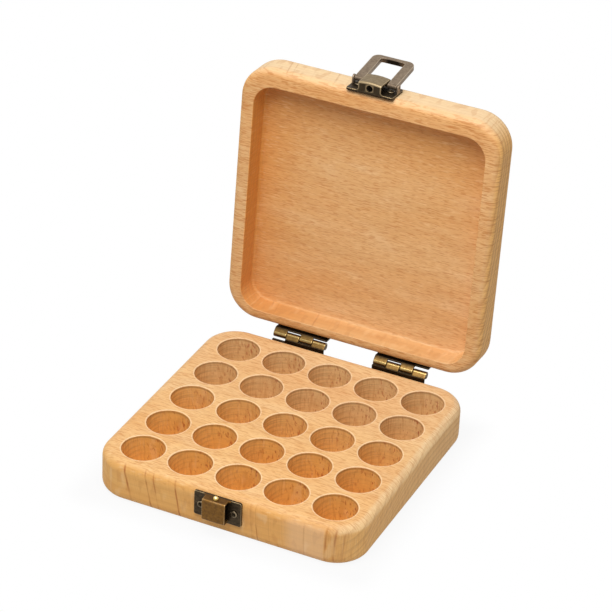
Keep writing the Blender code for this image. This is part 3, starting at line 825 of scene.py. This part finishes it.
def swept(skin, centre, across, through, half_across, half_through, edge, wear, rub_and_painted_light, end, lift=None):
    """Adds a section carried along a path: the centre plus so much across and so much through.

    The section's round edges take the edge value, and the rest takes the value given for its row or point;
    both carry real wear, and on the bail and the knuckles painted shade and painted highlights too.
    """
    wide, deep = section(half_across, half_through, edge * np.ones(len(centre)))
    grid = centre[:, None] + wide[..., None] * across[:, None] + deep[..., None] * through[:, None]
    if lift is not None:
        grid = grid + lift(wide)
    wear, rub_and_painted_light = (value[:, None] if value.ndim == 1 else value for value in (wear, rub_and_painted_light))
    return skin.add_capped(grid, np.where(on_edge > 0, rub_and_painted_light, wear), end)


def slab(skin, outline, near, far, edge, rub_and_painted_light, place):
    """Adds a flat piece: its outline carried from near to far, and drawn in at both faces to round the edges.

    outline gives a loop for an inset, and place gives points for that loop and a depth.
    """
    way = math.copysign(1, far - near)
    rows, wear = [], []
    for angle, inset, rise in rounded(-90, 90, edge, 8):
        start = near + way * edge if angle < 0 else far - way * edge
        rows.append(place(outline(inset), start + way * rise))
        wear.append(rub_and_painted_light * abs(math.sin(2 * angle)))
    return skin.add_capped(np.array(rows), wear)


def lathe(profile, count):
    """A profile of radius and height turned about Z: x and y are the radius times the cosine and the sine."""
    turn = np.linspace(0, 2 * math.pi, count + 1)[:-1]
    radius, height = profile[:, :1], profile[:, 1:]
    return np.stack([radius * np.cos(turn), radius * np.sin(turn), height + 0 * turn], axis=-1)


def rod_skin(middle, half, radius, edge):
    """A rod along X with round ends: circles that shrink by the edge's radius at each end."""
    profile = [(radius - edge + rise, inset - half) for _, inset, rise in rounded(0, 90, edge, 3)]
    profile += [(radius - edge + rise, half - inset) for _, inset, rise in rounded(90, 0, edge, 3)]
    return Skin().add_capped(lathe(np.array(profile), 24)[..., [2, 0, 1]] + middle)


def drilled(piece, point, radius, along, reach):
    """Cuts a round hole through a piece: a rod of 32 sides about a point, along a direction, by Boolean."""
    angles = np.linspace(0, 2 * math.pi, 33)[:-1]
    along = np.array(along, float)
    first = np.cross(along, (0.3, 0.5, 0.8))
    first /= np.linalg.norm(first)
    second = np.cross(along, first)
    ring = radius * (np.cos(angles)[:, None] * first + np.sin(angles)[:, None] * second)
    ends = np.stack([point + ring - along * reach, point + ring + along * reach])
    tool = Skin().add_capped(ends, shares=(0, 1)).shape("drill", unmoved)
    cut = piece.modifiers.new("hole", "BOOLEAN")
    cut.operation = "DIFFERENCE"
    cut.solver = "EXACT"
    cut.object = tool
    mesh = bpy.data.meshes.new_from_object(piece.evaluated_get(bpy.context.evaluated_depsgraph_get()))
    piece.modifiers.clear()
    piece.data = mesh
    bpy.data.objects.remove(tool)
    mesh.set_sharp_from_angle(angle=math.radians(50))


print("points in a section:", len(on_edge))

# %% [markdown]
# Each latch plate is one stamping: a flat plate with two screws, and a tongue folded out of its edge into a
# square boss. The keeper sits on the base and its tongue hangs down from the top edge. The lid's plate is the
# same, turned over, with a round hole in the folded wall for the nib. Where the tongue leaves the plate it is
# wider, in a small hollow curve, because a sharp notch would tear.

# %% Latch plates and bosses
latch_place = float(bail_axis[0])
front = -half_y
keeper_low, keeper_high = (np.array(corner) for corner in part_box("latch_keeper"))
keeper_top = keeper_high[2]
plate_height = keeper_high[2] - keeper_low[2]
latch_half = (keeper_high[0] - keeper_low[0]) / 2
boss_out = front - keeper_low[1]
boss_height = 10.1 * mm
boss_half = 5.2 * mm
boss_flare = 1.1 * mm
boss_bend = 0.40 * mm
boss_edge = 0.14 * mm
boss_clear = 0.3 * mm
latch_sheet = 0.8 * mm
plate_back = 0.04 * mm
plate_front = 1.1 * mm
plate_edge = 0.28 * mm
plate_corner = 0.8 * mm
nib_out = 2.8 * mm
nib_hole = 1.5 * mm
meeting_gap = 0.25 * mm
lid_plate_foot = keeper_top + meeting_gap
pivot_out = front - shut_pivot[1]
pivot_height = shut_pivot[2]
across_x = np.array((1.0, 0.0, 0.0))


def out_of_front(x, out, z):
    """Points that lie so far out from the box's front face."""
    return np.stack(np.broadcast_arrays(x, front - out, z), axis=-1)


def plate_skin(foot):
    """A plate with round corners and edges: loops from the middle of its back, over its edge, to its face."""
    middle = (latch_place, foot + plate_height / 2)
    steps = [(plate_back, 0.0, 0.0)]
    for angle, inset, rise in rounded(0, 90, plate_edge, 5):
        steps.append((plate_front - plate_edge + rise, inset, angle))
    rows = []
    for out, inset, _ in steps:
        loop = round_outline(latch_half - inset, plate_height / 2 - inset, plate_corner, middle, 24, 8)
        rows.append(out_of_front(loop[:, 0], out, loop[:, 1]))
    skin = Skin().add(np.array(rows), [0.6 * math.sin(2 * angle) for _, _, angle in steps])
    skin.add(to_middle(rows[0]))
    return skin.add(to_middle(rows[-1], (0, 0.03, 0.3, 0.6, 0.85, 1)), [0.3, 0, 0, -0.2, -0.2, 0])


def boss_skin(root, foot, bow, face_bow, wall_grime):
    """The tongue: out from the plate, down the boss's face and back, wider at its root and bowed across.

    Half its width is boss_half plus a hollow quarter circle where it is within a flare's radius of the plate.
    Away from the plate it is bowed by bow times (face_bow less the square of the share across).
    """
    inward = math.copysign(1, foot - root)
    half_sheet = latch_sheet / 2
    high, low = root + inward * half_sheet, foot - inward * half_sheet
    start, face = plate_front - half_sheet, boss_out - half_sheet
    corners = [(start, high), (face, high), (face, low), (plate_front + boss_clear, low)]
    points, facing = folded(corners, boss_bend)
    root_rows = 8
    run = np.linspace(start, plate_front + boss_flare, root_rows)[1:]
    points = np.concatenate([points[:1], np.column_stack([run, np.full(len(run), high)]), points[2:]])
    facing = np.concatenate([np.repeat(facing[:1], root_rows, axis=0), facing[2:]])
    out = points[:, 0]
    row = np.arange(len(points))
    near = np.clip((out - plate_front) / boss_flare, 0, 1)
    half = boss_half + np.where(row < root_rows, boss_flare * (1 - np.sqrt(1 - (1 - near) ** 2)), 0.0)
    ramp = np.clip((out - plate_front) / (face - plate_front), 0, 1)[:, None] ** 2

    def lift(wide):
        rise = bow * ramp * (face_bow - (wide / boss_half) ** 2)
        return np.stack([np.zeros_like(rise), -rise, np.zeros_like(rise)], axis=-1)

    first_wall = row < np.argmax(out >= face - 0.001 * mm)
    bends = np.abs(np.gradient(np.arctan2(facing[:, 1], facing[:, 0]))) > 0.05
    wear = np.where(bends & first_wall, 0.36, np.where(first_wall, wall_grime, 0.0))
    rub_and_painted_light = np.where(row < root_rows, 0.1, 0.5)
    centre = out_of_front(latch_place, out, points[:, 1])
    across = np.broadcast_to(across_x, centre.shape)
    through = np.stack([np.zeros(len(facing)), -facing[:, 0], facing[:, 1]], axis=-1)
    return swept(Skin(), centre, across, through, half, half_sheet, boss_edge, wear, rub_and_painted_light, 0.0, lift)


sink = 0.02 * mm
plate_skin(keeper_top - plate_height).build(
    "keeper_plate", "base", dark_plate, stands_for=["latch_keeper"], slot="antique_bronze",
)
boss_skin(keeper_top - sink, keeper_top - boss_height, bow=0.12 * mm, face_bow=0.0, wall_grime=-0.35).build(
    "keeper_boss", "base", brown_boss, stands_for=["latch_keeper"], slot="antique_bronze",
)
plate_skin(lid_plate_foot).build(
    "lid_plate", "lid", dark_plate, stands_for=["latch_lid_plate"], slot="worn_bronze",
)
lid_tongue = boss_skin(
    lid_plate_foot + sink, lid_plate_foot + boss_height, bow=0.5 * mm, face_bow=0.6, wall_grime=-1.05,
)
lid_boss = lid_tongue.build(
    "lid_boss", "lid", tan_boss, stands_for=["latch_lid_plate"], slot="worn_bronze",
)
hole_place = out_of_front(latch_place, nib_out, lid_plate_foot + latch_sheet / 2)
hole_way = opened(hole_place + np.array((0, 0, 1.0))) - opened(hole_place)
drilled(lid_boss, opened(hole_place), nib_hole, hole_way, latch_sheet)
print("boss stands out by", round(boss_out / mm, 2), "mm; nib hole", 2 * nib_hole / mm, "mm across")

# %% [markdown]
# Two ears stand up from the lid's plate and hold the pivot pin. Each is a small upright sheet with a round
# head about the pin. The pin's ends stay a little inside the ears and show as dark dots.

# %% Ears and pivot pin
ear_radius = 1.34 * mm
ear_edge = 0.2 * mm
ear_root = 0.4 * mm
ear_inset = 0.05 * mm
ear_outer = latch_half - ear_inset
ear_inner = ear_outer - latch_sheet
pin_radius = 0.6 * mm
pin_play = 0.05 * mm
pin_inset = 0.12 * mm
pin_edge = 0.12 * mm
pin_hole = pin_radius + pin_play
ear_reach = ear_outer + 1 * mm


def ear_loop(inset):
    """The ear's outline: a half circle about the pivot, and straight sides down to the plate."""
    radius = ear_radius - inset
    angles = arc(0, 180, 16)
    foot = np.linspace(1, 0, 6)[1:]
    z = np.concatenate([radius * np.cos(angles), np.full(5, -radius), np.full(5, radius)])
    low = plate_front - ear_root + inset
    out = pivot_out + radius * np.sin(angles)
    out = np.concatenate([out, low + (pivot_out - low) * foot, low + (pivot_out - low) * (1 - foot)])
    return z + pivot_height, out


def ear_points(loop, x):
    """An ear's outline at a place across the latch."""
    return out_of_front(latch_place + x, loop[1], loop[0])


ear_skin = Skin()
for side in (1, -1):
    slab(ear_skin, ear_loop, side * ear_inner, side * ear_outer, ear_edge, 0.5, ear_points)
ears = ear_skin.build(
    "lid_plate_ears", "lid", grey_bail, stands_for=["latch_lid_plate"], slot="worn_bronze",
)
drilled(ears, bail_axis, pin_hole, across_x, ear_reach)
pin_skin = rod_skin(shut_pivot, ear_outer - pin_inset, pin_radius, pin_edge)
pin_skin.build("pivot_pin", "lid", dark_screw, stands_for=["latch_pivot_pin"], slot="worn_bronze")

# %% [markdown]
# The bail is a heavy flat U, cut and tumbled, so all its edges are soft. Its section is carried between two
# rails, an inner one round the window and an outer one with larger corners. The arms' near ends are round
# about the pivot, so that they can turn close above the plate.

# %% Bail
bail_half = 1.15 * mm
bail_bar = 2.1 * mm
bail_edge = 0.24 * mm
bail_corner = 3.2 * mm
window_corner = 0.7 * mm
hook_play = 0.3 * mm
side_play = 0.25 * mm
bail_reach = pivot_height - (keeper_top - boss_height) + hook_play
window_half = boss_half + side_play
bail_side = ear_inner - side_play
end_round = 1.04 * mm


def bail_rails():
    """Matching points of the inner and outer rails, as x and reach, and half the bail's thickness at each.

    They run up one arm, over the bar and down the other. At the arms' ends the thickness shrinks as a circle.
    """
    ends = end_round * (1 - np.cos(arc(0, 90, 6))) - bail_half
    shares = np.array([0.15, 0.5, 0.9, 0.985])
    inner = (window_half, bail_reach, window_corner)
    outer = (bail_side, bail_reach + bail_bar, bail_corner)
    rails = []
    for half, top, corner in (inner, outer):
        arm = np.concatenate([ends, ends[-1] + (top - corner - ends[-1]) * shares])
        turn = arc(180, 90, 10)
        across = -(half - corner) * np.array([0.97, 0.5])
        x = np.concatenate([np.full(len(arm), -half), -half + corner + corner * np.cos(turn), across])
        reach = np.concatenate([arm, top - corner + corner * np.sin(turn), np.full(2, top)])
        rails.append(np.stack([np.concatenate([x, -x[::-1]]), np.concatenate([reach, reach[::-1]])], axis=-1))
    size = np.full(len(rails[0]), bail_half)
    round_end = bail_half - end_round * (1 - np.sin(arc(0, 90, 6)))
    size[:7], size[-7:] = round_end, round_end[::-1]
    return rails[0], rails[1], size


def bail_skin():
    """The bail, upright on the shut lid: sections between the rails, with painted shade inside its far bar.
    """
    inner, outer, size = bail_rails()
    middle, across = (inner + outer) / 2, outer - inner
    width = np.linalg.norm(across, axis=1)
    across /= width[:, None]
    centre = out_of_front(latch_place + middle[:, 0], pivot_out, pivot_height + middle[:, 1])
    across = np.stack([across[:, 0], np.zeros(len(across)), across[:, 1]], axis=-1)
    through = np.broadcast_to((0.0, -1.0, 0.0), centre.shape)
    # Painted shade darkens the far bar's inner face and inner edges, the arms' near ends and their end caps.
    far_bar = (np.abs(middle[:, 0]) < window_half - 0.2 * mm)[:, None]
    wear = np.where(far_bar & (way_x < -0.9) & (on_edge == 0), -1.2, 0.0)
    rub_and_painted_light = np.where(far_bar & (sign_x < 0) & (on_edge > 0), -0.6, 0.5)
    wear[:6], wear[-6:], rub_and_painted_light[:5], rub_and_painted_light[-5:] = -0.5, -0.5, 0.1, 0.1
    edge = np.minimum(bail_edge, size * 0.95)
    return swept(Skin(), centre, across, through, width / 2, size, edge, wear, rub_and_painted_light, -0.5)


bail = bail_skin().build("bail", "bail", grey_bail, stands_for=["latch_bail"], slot="worn_bronze")
drilled(bail, bail_axis, pin_hole, across_x, ear_reach)
print("bail reaches", round(bail_reach / mm, 2), "mm from the pivot to the inside of its bar")

# %% [markdown]
# The nib is a small brass stud on the keeper. When the box shuts it enters the hole in the lid's boss and
# keeps the lid from sliding. It was turned on a lathe, so it is a profile turned about its middle.

# %% Nib
nib_radius = 1.25 * mm
nib_neck = 0.2 * mm


def nib_skin():
    """The nib: a round dome on a short neck, and its rivet below the boss's wall."""
    over = arc(90, 0, 10)
    dome = np.column_stack([nib_radius * np.cos(over), nib_neck + nib_radius * np.sin(over)])
    foot = mm * np.array([(1.25, 0.06), (1.28, 0.0), (0.7, 0.0), (0.7, -0.9)])
    rivet = mm * np.array([(1.0, -0.95), (0.9, -1.2), (0.0, -1.3)])
    grid = lathe(np.concatenate([dome, foot, rivet]), 40) + out_of_front(latch_place, nib_out, keeper_top)
    # The dome is brightest at its top and fades down it, partly rubbed brass and partly a painted highlight;
    # the foot and the rivet below it are darkened as painted shade.
    return Skin().add(grid, np.concatenate([np.linspace(1, 0.2, len(dome)), np.full(7, -0.6)]))


nib_skin().build("nib", "base", clean_brass, stands_for=["latch_nib"], slot="bright_brass")

# %% [markdown]
# Twelve small cross-head screws hold the hardware. A head is pressed with a raised ring round a dished middle
# and a cross for the driver. Each is left at its own angle, as hands leave it.

# %% Screws
screw_head = 1.5 * mm
screw_shank = 0.8 * mm
screw_grip = 4.0 * mm
screw_side = 7.55 * mm
cross_depth = 0.42 * mm
cross_reach = 0.95 * mm
cross_soft = 0.2 * mm
dish_height = 0.36 * mm
ring_height = 0.24 * mm
brim_height = 0.08 * mm
screw_lift = 0.05 * mm


def screw_skin(centre, way, turn):
    """A screw along the Y axis, its head towards way: dished face less cross, brim, and a tapered shank.

    The face's height is the dish's, plus the ring's times the sine of pi times the squared share of the
    radius. The cross is deep where the smaller of the two distances from the arms' lines is small and the
    larger one is within the arm's length; both fade over a short step.
    """
    shares = np.array([0, 0.1, 0.2, 0.3, 0.4, 0.48, 0.56, 0.64, 0.74, 0.86, 0.96, 1.0, 1.0, 0.93])
    height = dish_height + ring_height * np.sin(shares ** 2 * math.pi)
    height[-2:] = (brim_height, 0.0)
    tip = [(screw_shank, 0.0), (screw_shank, -screw_grip * 0.75)]
    tip += [(screw_shank * 0.5, -screw_grip * 0.92), (0.0, -screw_grip)]
    profile = np.concatenate([np.column_stack([screw_head * shares, height]), tip])
    x, z, y = np.moveaxis(lathe(profile, 48), -1, 0)
    near, far = np.minimum(abs(x), abs(z)), np.maximum(abs(x), abs(z))
    cross = np.clip(1.5 - near / cross_soft, 0, 1) * np.clip((cross_reach - far) / cross_soft, 0, 1)
    cross[len(shares):] = 0.0
    # The cross is darkened as painted shade in its recess and the dished face is darker; the raised ring is
    # brightened, partly as rub and partly as a painted highlight.
    wear = np.where(cross > 0.3, -1.0, -0.45)
    wear[8:12] = 0.55
    wear[len(shares):] = 0.0
    cosine, sine = math.cos(turn), math.sin(turn)
    y = way * (y - cross_depth * cross)
    return Skin().add(np.stack([x * cosine - z * sine, y, x * sine + z * cosine], axis=-1) + centre, wear)


def place_screw(node, piece, body, x, y, z, way):
    """One screw, turned by an angle that its place decides."""
    turn = math.radians(37.0 * (x / mm) + 11.0 * (z / mm))
    skin = screw_skin(np.array((x, y, z)), way, turn)
    skin.build(piece, body, dark_screw, stands_for=[node], slot="screw_bronze")


for plate, body, foot in (("keeper", "base", keeper_top - plate_height), ("lid", "lid", lid_plate_foot)):
    for side, way in (("left", -1), ("right", 1)):
        across, out = latch_place + way * screw_side, front - plate_front - screw_lift
        name = f"{plate}_screw_{side}"
        place_screw(f"latch_{name}", name, body, across, out, foot + plate_height / 2, -1)

# %% [markdown]
# A butt hinge is two leaves and a pin. Each leaf's sheet is rolled round the pin in two short knuckles, and
# the other leaf is notched to let them turn. A leaf here is a flat plate with a strip for each knuckle: the
# strip leaves the plate, slopes at 45 degrees to the far side of the pin, and rolls back over it. The notches
# are fine sawn lines, but one end knuckle of each hinge has its whole width cut away to the deep line.

# %% Hinges
hinge_half = 12.5 * mm
hinge_sheet = 0.85 * mm
hinge_pin = 0.75 * mm
roll_radius = 1.225 * mm
leaf_in = 2.375 * mm
leaf_reach = 10.0 * mm
leaf_edge = 0.2 * mm
leaf_corner = 0.4 * mm
lip_overlap = 0.6 * mm
lip_thin = 0.01 * mm
strip_root = 1.0 * mm
strip_bend = 0.6 * mm
strip_edge = 0.16 * mm
strip_thin = 0.004 * mm
hinge_screw_side = 7.0 * mm
hinge_screw_out = 5.95 * mm
hinge_pin_inset = 0.05 * mm
hinge_pin_edge = 0.2 * mm
notch = 0.34 * mm
deep_notch = 1.6 * mm
knuckle_width = 6.25 * mm
knuckle_gap = 0.12 * mm
roll_start, roll_sweep, roll_steps = 135.0, 285.0, 32
_, axis_y, axis_z = lid_axis
leaf_face = axis_y - leaf_in + hinge_sheet / 2


def leaf_points(loop, y):
    """A leaf's outline at a depth."""
    return np.column_stack([loop[:, 0], np.full(len(loop), y), loop[:, 1]])


def leaf_skin(place, side, open_end):
    """A leaf's flat, above the pin for side 1 and below for -1: a plate to its reach, and a lip by the pin.

    The lip leaves out one knuckle's width at the open end, -1 for left and 1 for right, or 0 for none. It is
    a hair thinner than the plate, so that their faces don't lie in one plane.
    """
    skin = Skin()
    short = abs(open_end) * knuckle_width / 2
    parts = (
        (place, hinge_half, deep_notch, leaf_reach, 0.0),
        (place - open_end * short, hinge_half - short, notch, deep_notch + lip_overlap, lip_thin),
    )
    for middle_x, half, near, reach, thin in parts:
        middle, half_tall = (middle_x, axis_z + side * (near + reach) / 2), (reach - near) / 2

        def outline(inset):
            return round_outline(half - inset, half_tall - inset, leaf_corner, middle, 24, 8)

        slab(skin, outline, leaf_face - hinge_sheet + thin, leaf_face - thin, leaf_edge, 0.2, leaf_points)
    return skin


def knuckle_path(side):
    """The rolled strip's middle line and the way it faces: down, out at 45 degrees, and round the pin."""
    start = math.radians(roll_start)
    first = (roll_radius * math.cos(start), -roll_radius * math.sin(start))
    step = leaf_in + 2 * first[0]
    points, facing = folded([(-leaf_in, strip_root), (-leaf_in, step), first], strip_bend)
    angles = np.radians(roll_start - roll_sweep * np.linspace(0, 1, roll_steps + 1)[1:])
    ring = np.stack([np.cos(angles), -np.sin(angles)], axis=-1)
    inside = -ring if facing[-1] @ np.array(first) < 0 else ring
    flip = (1, side)
    return np.concatenate([points, ring * roll_radius]) * flip, np.concatenate([facing, inside]) * flip


def knuckles_skin(place, side, first):
    """A leaf's two knuckles: the strip's section along the rolled path, with painted shade on its slope and a
    painted highlight on top.
    """
    points, facing = knuckle_path(side)
    after = np.arange(len(points)) - (len(points) - roll_steps - 1)
    # The strip's value along its path is painted light: painted shade at the foot and on the slope, and a
    # painted highlight along the crown where the roll starts, partly a rubbed crown.
    painted_slope_shade = -0.75 if side > 0 else -0.3
    grime_and_painted_light = np.interp(after, (-4, -2, -1, 0, 3, 6), (-0.85, painted_slope_shade, 0.2, 0.8, 0.6, 0.0))
    through = np.column_stack([np.zeros(len(facing)), facing])
    half_sheet = hinge_sheet / 2 - strip_thin
    skin = Skin()
    for number in (first, first + 2):
        start = place - hinge_half + knuckle_width * number + (knuckle_gap if number > 0 else 0)
        end = place - hinge_half + knuckle_width * (number + 1) - (knuckle_gap if number < 3 else 0)
        centre = np.column_stack([np.full(len(points), (start + end) / 2), points + lid_axis[1:]])
        across = np.broadcast_to(across_x, centre.shape)
        half = (end - start) / 2
        swept(skin, centre, across, through, half, half_sheet, strip_edge, grime_and_painted_light, grime_and_painted_light, 0.0)
    return skin


open_ends = {"hinge_left_base": -1, "hinge_right_lid": 1}
for hinge in ("hinge_left", "hinge_right"):
    low, high = (np.array(corner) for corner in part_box(hinge + "_pin"))
    place = (low[0] + high[0]) / 2
    for body, side, first in (("lid", 1, 0), ("base", -1, 1)):
        leaf = f"{hinge}_{body}"
        node = leaf + "_leaf"
        flat = leaf_skin(place, side, open_ends.get(leaf, 0))
        flat.build(leaf + "_flat", body, dark_plate, stands_for=[node], slot="antique_bronze")
        rolled = knuckles_skin(place, side, first)
        rolled.build(leaf + "_knuckles", body, gold_knuckle, stands_for=[node], slot="antique_bronze")
        for number, across in (("1", -hinge_screw_side), ("2", hinge_screw_side)):
            screw = f"{leaf}_screw_{number}"
            out, height = leaf_face + screw_lift, axis_z + side * hinge_screw_out
            place_screw(screw, screw + "_head", body, place + across, out, height, 1)
    middle = np.array((place, axis_y, axis_z))
    pin = rod_skin(middle, hinge_half - hinge_pin_inset, hinge_pin, hinge_pin_edge)
    pin.build(hinge + "_pin_rod", "base", dark_screw, stands_for=[hinge + "_pin"], slot="antique_bronze")

# %% [markdown]
# The floor is a wide pale sheet. To the camera it turns to plain white away from the box, and near the box it
# keeps the soft shadow. The studio light is a broad lamp above and a little in front, and a white sky. The
# camera sees that sky at full strength, while the light that it throws on the box is less than half of it.

# %% Floor, lamp and sky
floor_reach = 3.0
floor_level = -0.02 * mm
floor_grey = 0.52
shadow_reach = 0.015
sky_share = 0.43
lamp_place, lamp_target = Vector((0.01, -0.24, 0.60)), Vector((0, 0, 0.05))
lamp_width = 0.36
lamp_power = 3.2


def seen_rays(graph):
    """1 for rays from the camera, a mirror or a glass, and 0 for the light that falls on things."""
    kinds = ("Is Camera Ray", "Is Glossy Ray", "Is Transmission Ray")
    camera_ray, mirror_ray, glass_ray = graph.add("ShaderNodeLightPath", output=kinds)
    return camera_ray.maximum(mirror_ray).maximum(glass_ray)


def white_floor():
    """Pale paint that a camera, mirror or glass sees as white, with the shadow kept close to the box."""
    graph = Graph(bpy.data.materials.new("floor_paper"))
    graph.fill(graph.shader, {"Base Color": (floor_grey, floor_grey, floor_grey, 1.0), "Roughness": 0.9})
    across, along, _ = graph.apart(graph.add("ShaderNodeTexCoord", output="Object"))
    off_x = (abs(across) - half_x).maximum(0)
    off_y = (abs(along) - half_y).maximum(0)
    far = (off_x * off_x + off_y * off_y) ** 0.5
    share = seen_rays(graph) * (0.92 + far.above(0.0, shadow_reach) * 0.08)
    glow = graph.add("ShaderNodeEmission", {}, {"Color": (1, 1, 1, 1), "Strength": 1.0})
    values = {0: share, 1: Wire(graph, graph.shader.outputs[0]), 2: glow}
    graph.fill(graph.output, {"Surface": graph.add("ShaderNodeMixShader", {}, values)})
    return graph.holder


floor_mesh = bpy.data.meshes.new("floor")
floor_corners = floor_reach * np.array([(-1, -1), (1, -1), (1, 1), (-1, 1)])
floor_mesh.from_pydata(at_height(floor_corners, floor_level), [], [(0, 1, 2, 3)])
floor_mesh.materials.append(white_floor())
floor = linked("floor", floor_mesh)

lamp = bpy.data.lights.new("softbox", "AREA")
lamp.shape = "SQUARE"
lamp.size = lamp_width
lamp.energy = lamp_power
lamp_holder = linked("softbox", lamp)
lamp_holder.location = lamp_place
lamp_holder.rotation_euler = (lamp_target - lamp_place).to_track_quat("-Z", "Y").to_euler()

scene.world = bpy.data.worlds.new("sky")
sky = Graph(scene.world, "ShaderNodeBackground", "ShaderNodeOutputWorld")
sky.fill(sky.shader, {"Color": (1, 1, 1, 1), "Strength": sky_share + seen_rays(sky) * (1 - sky_share)})
scene.view_settings.view_transform = "Standard"
print("lamp of", lamp_power, "W, sky at", sky_share)
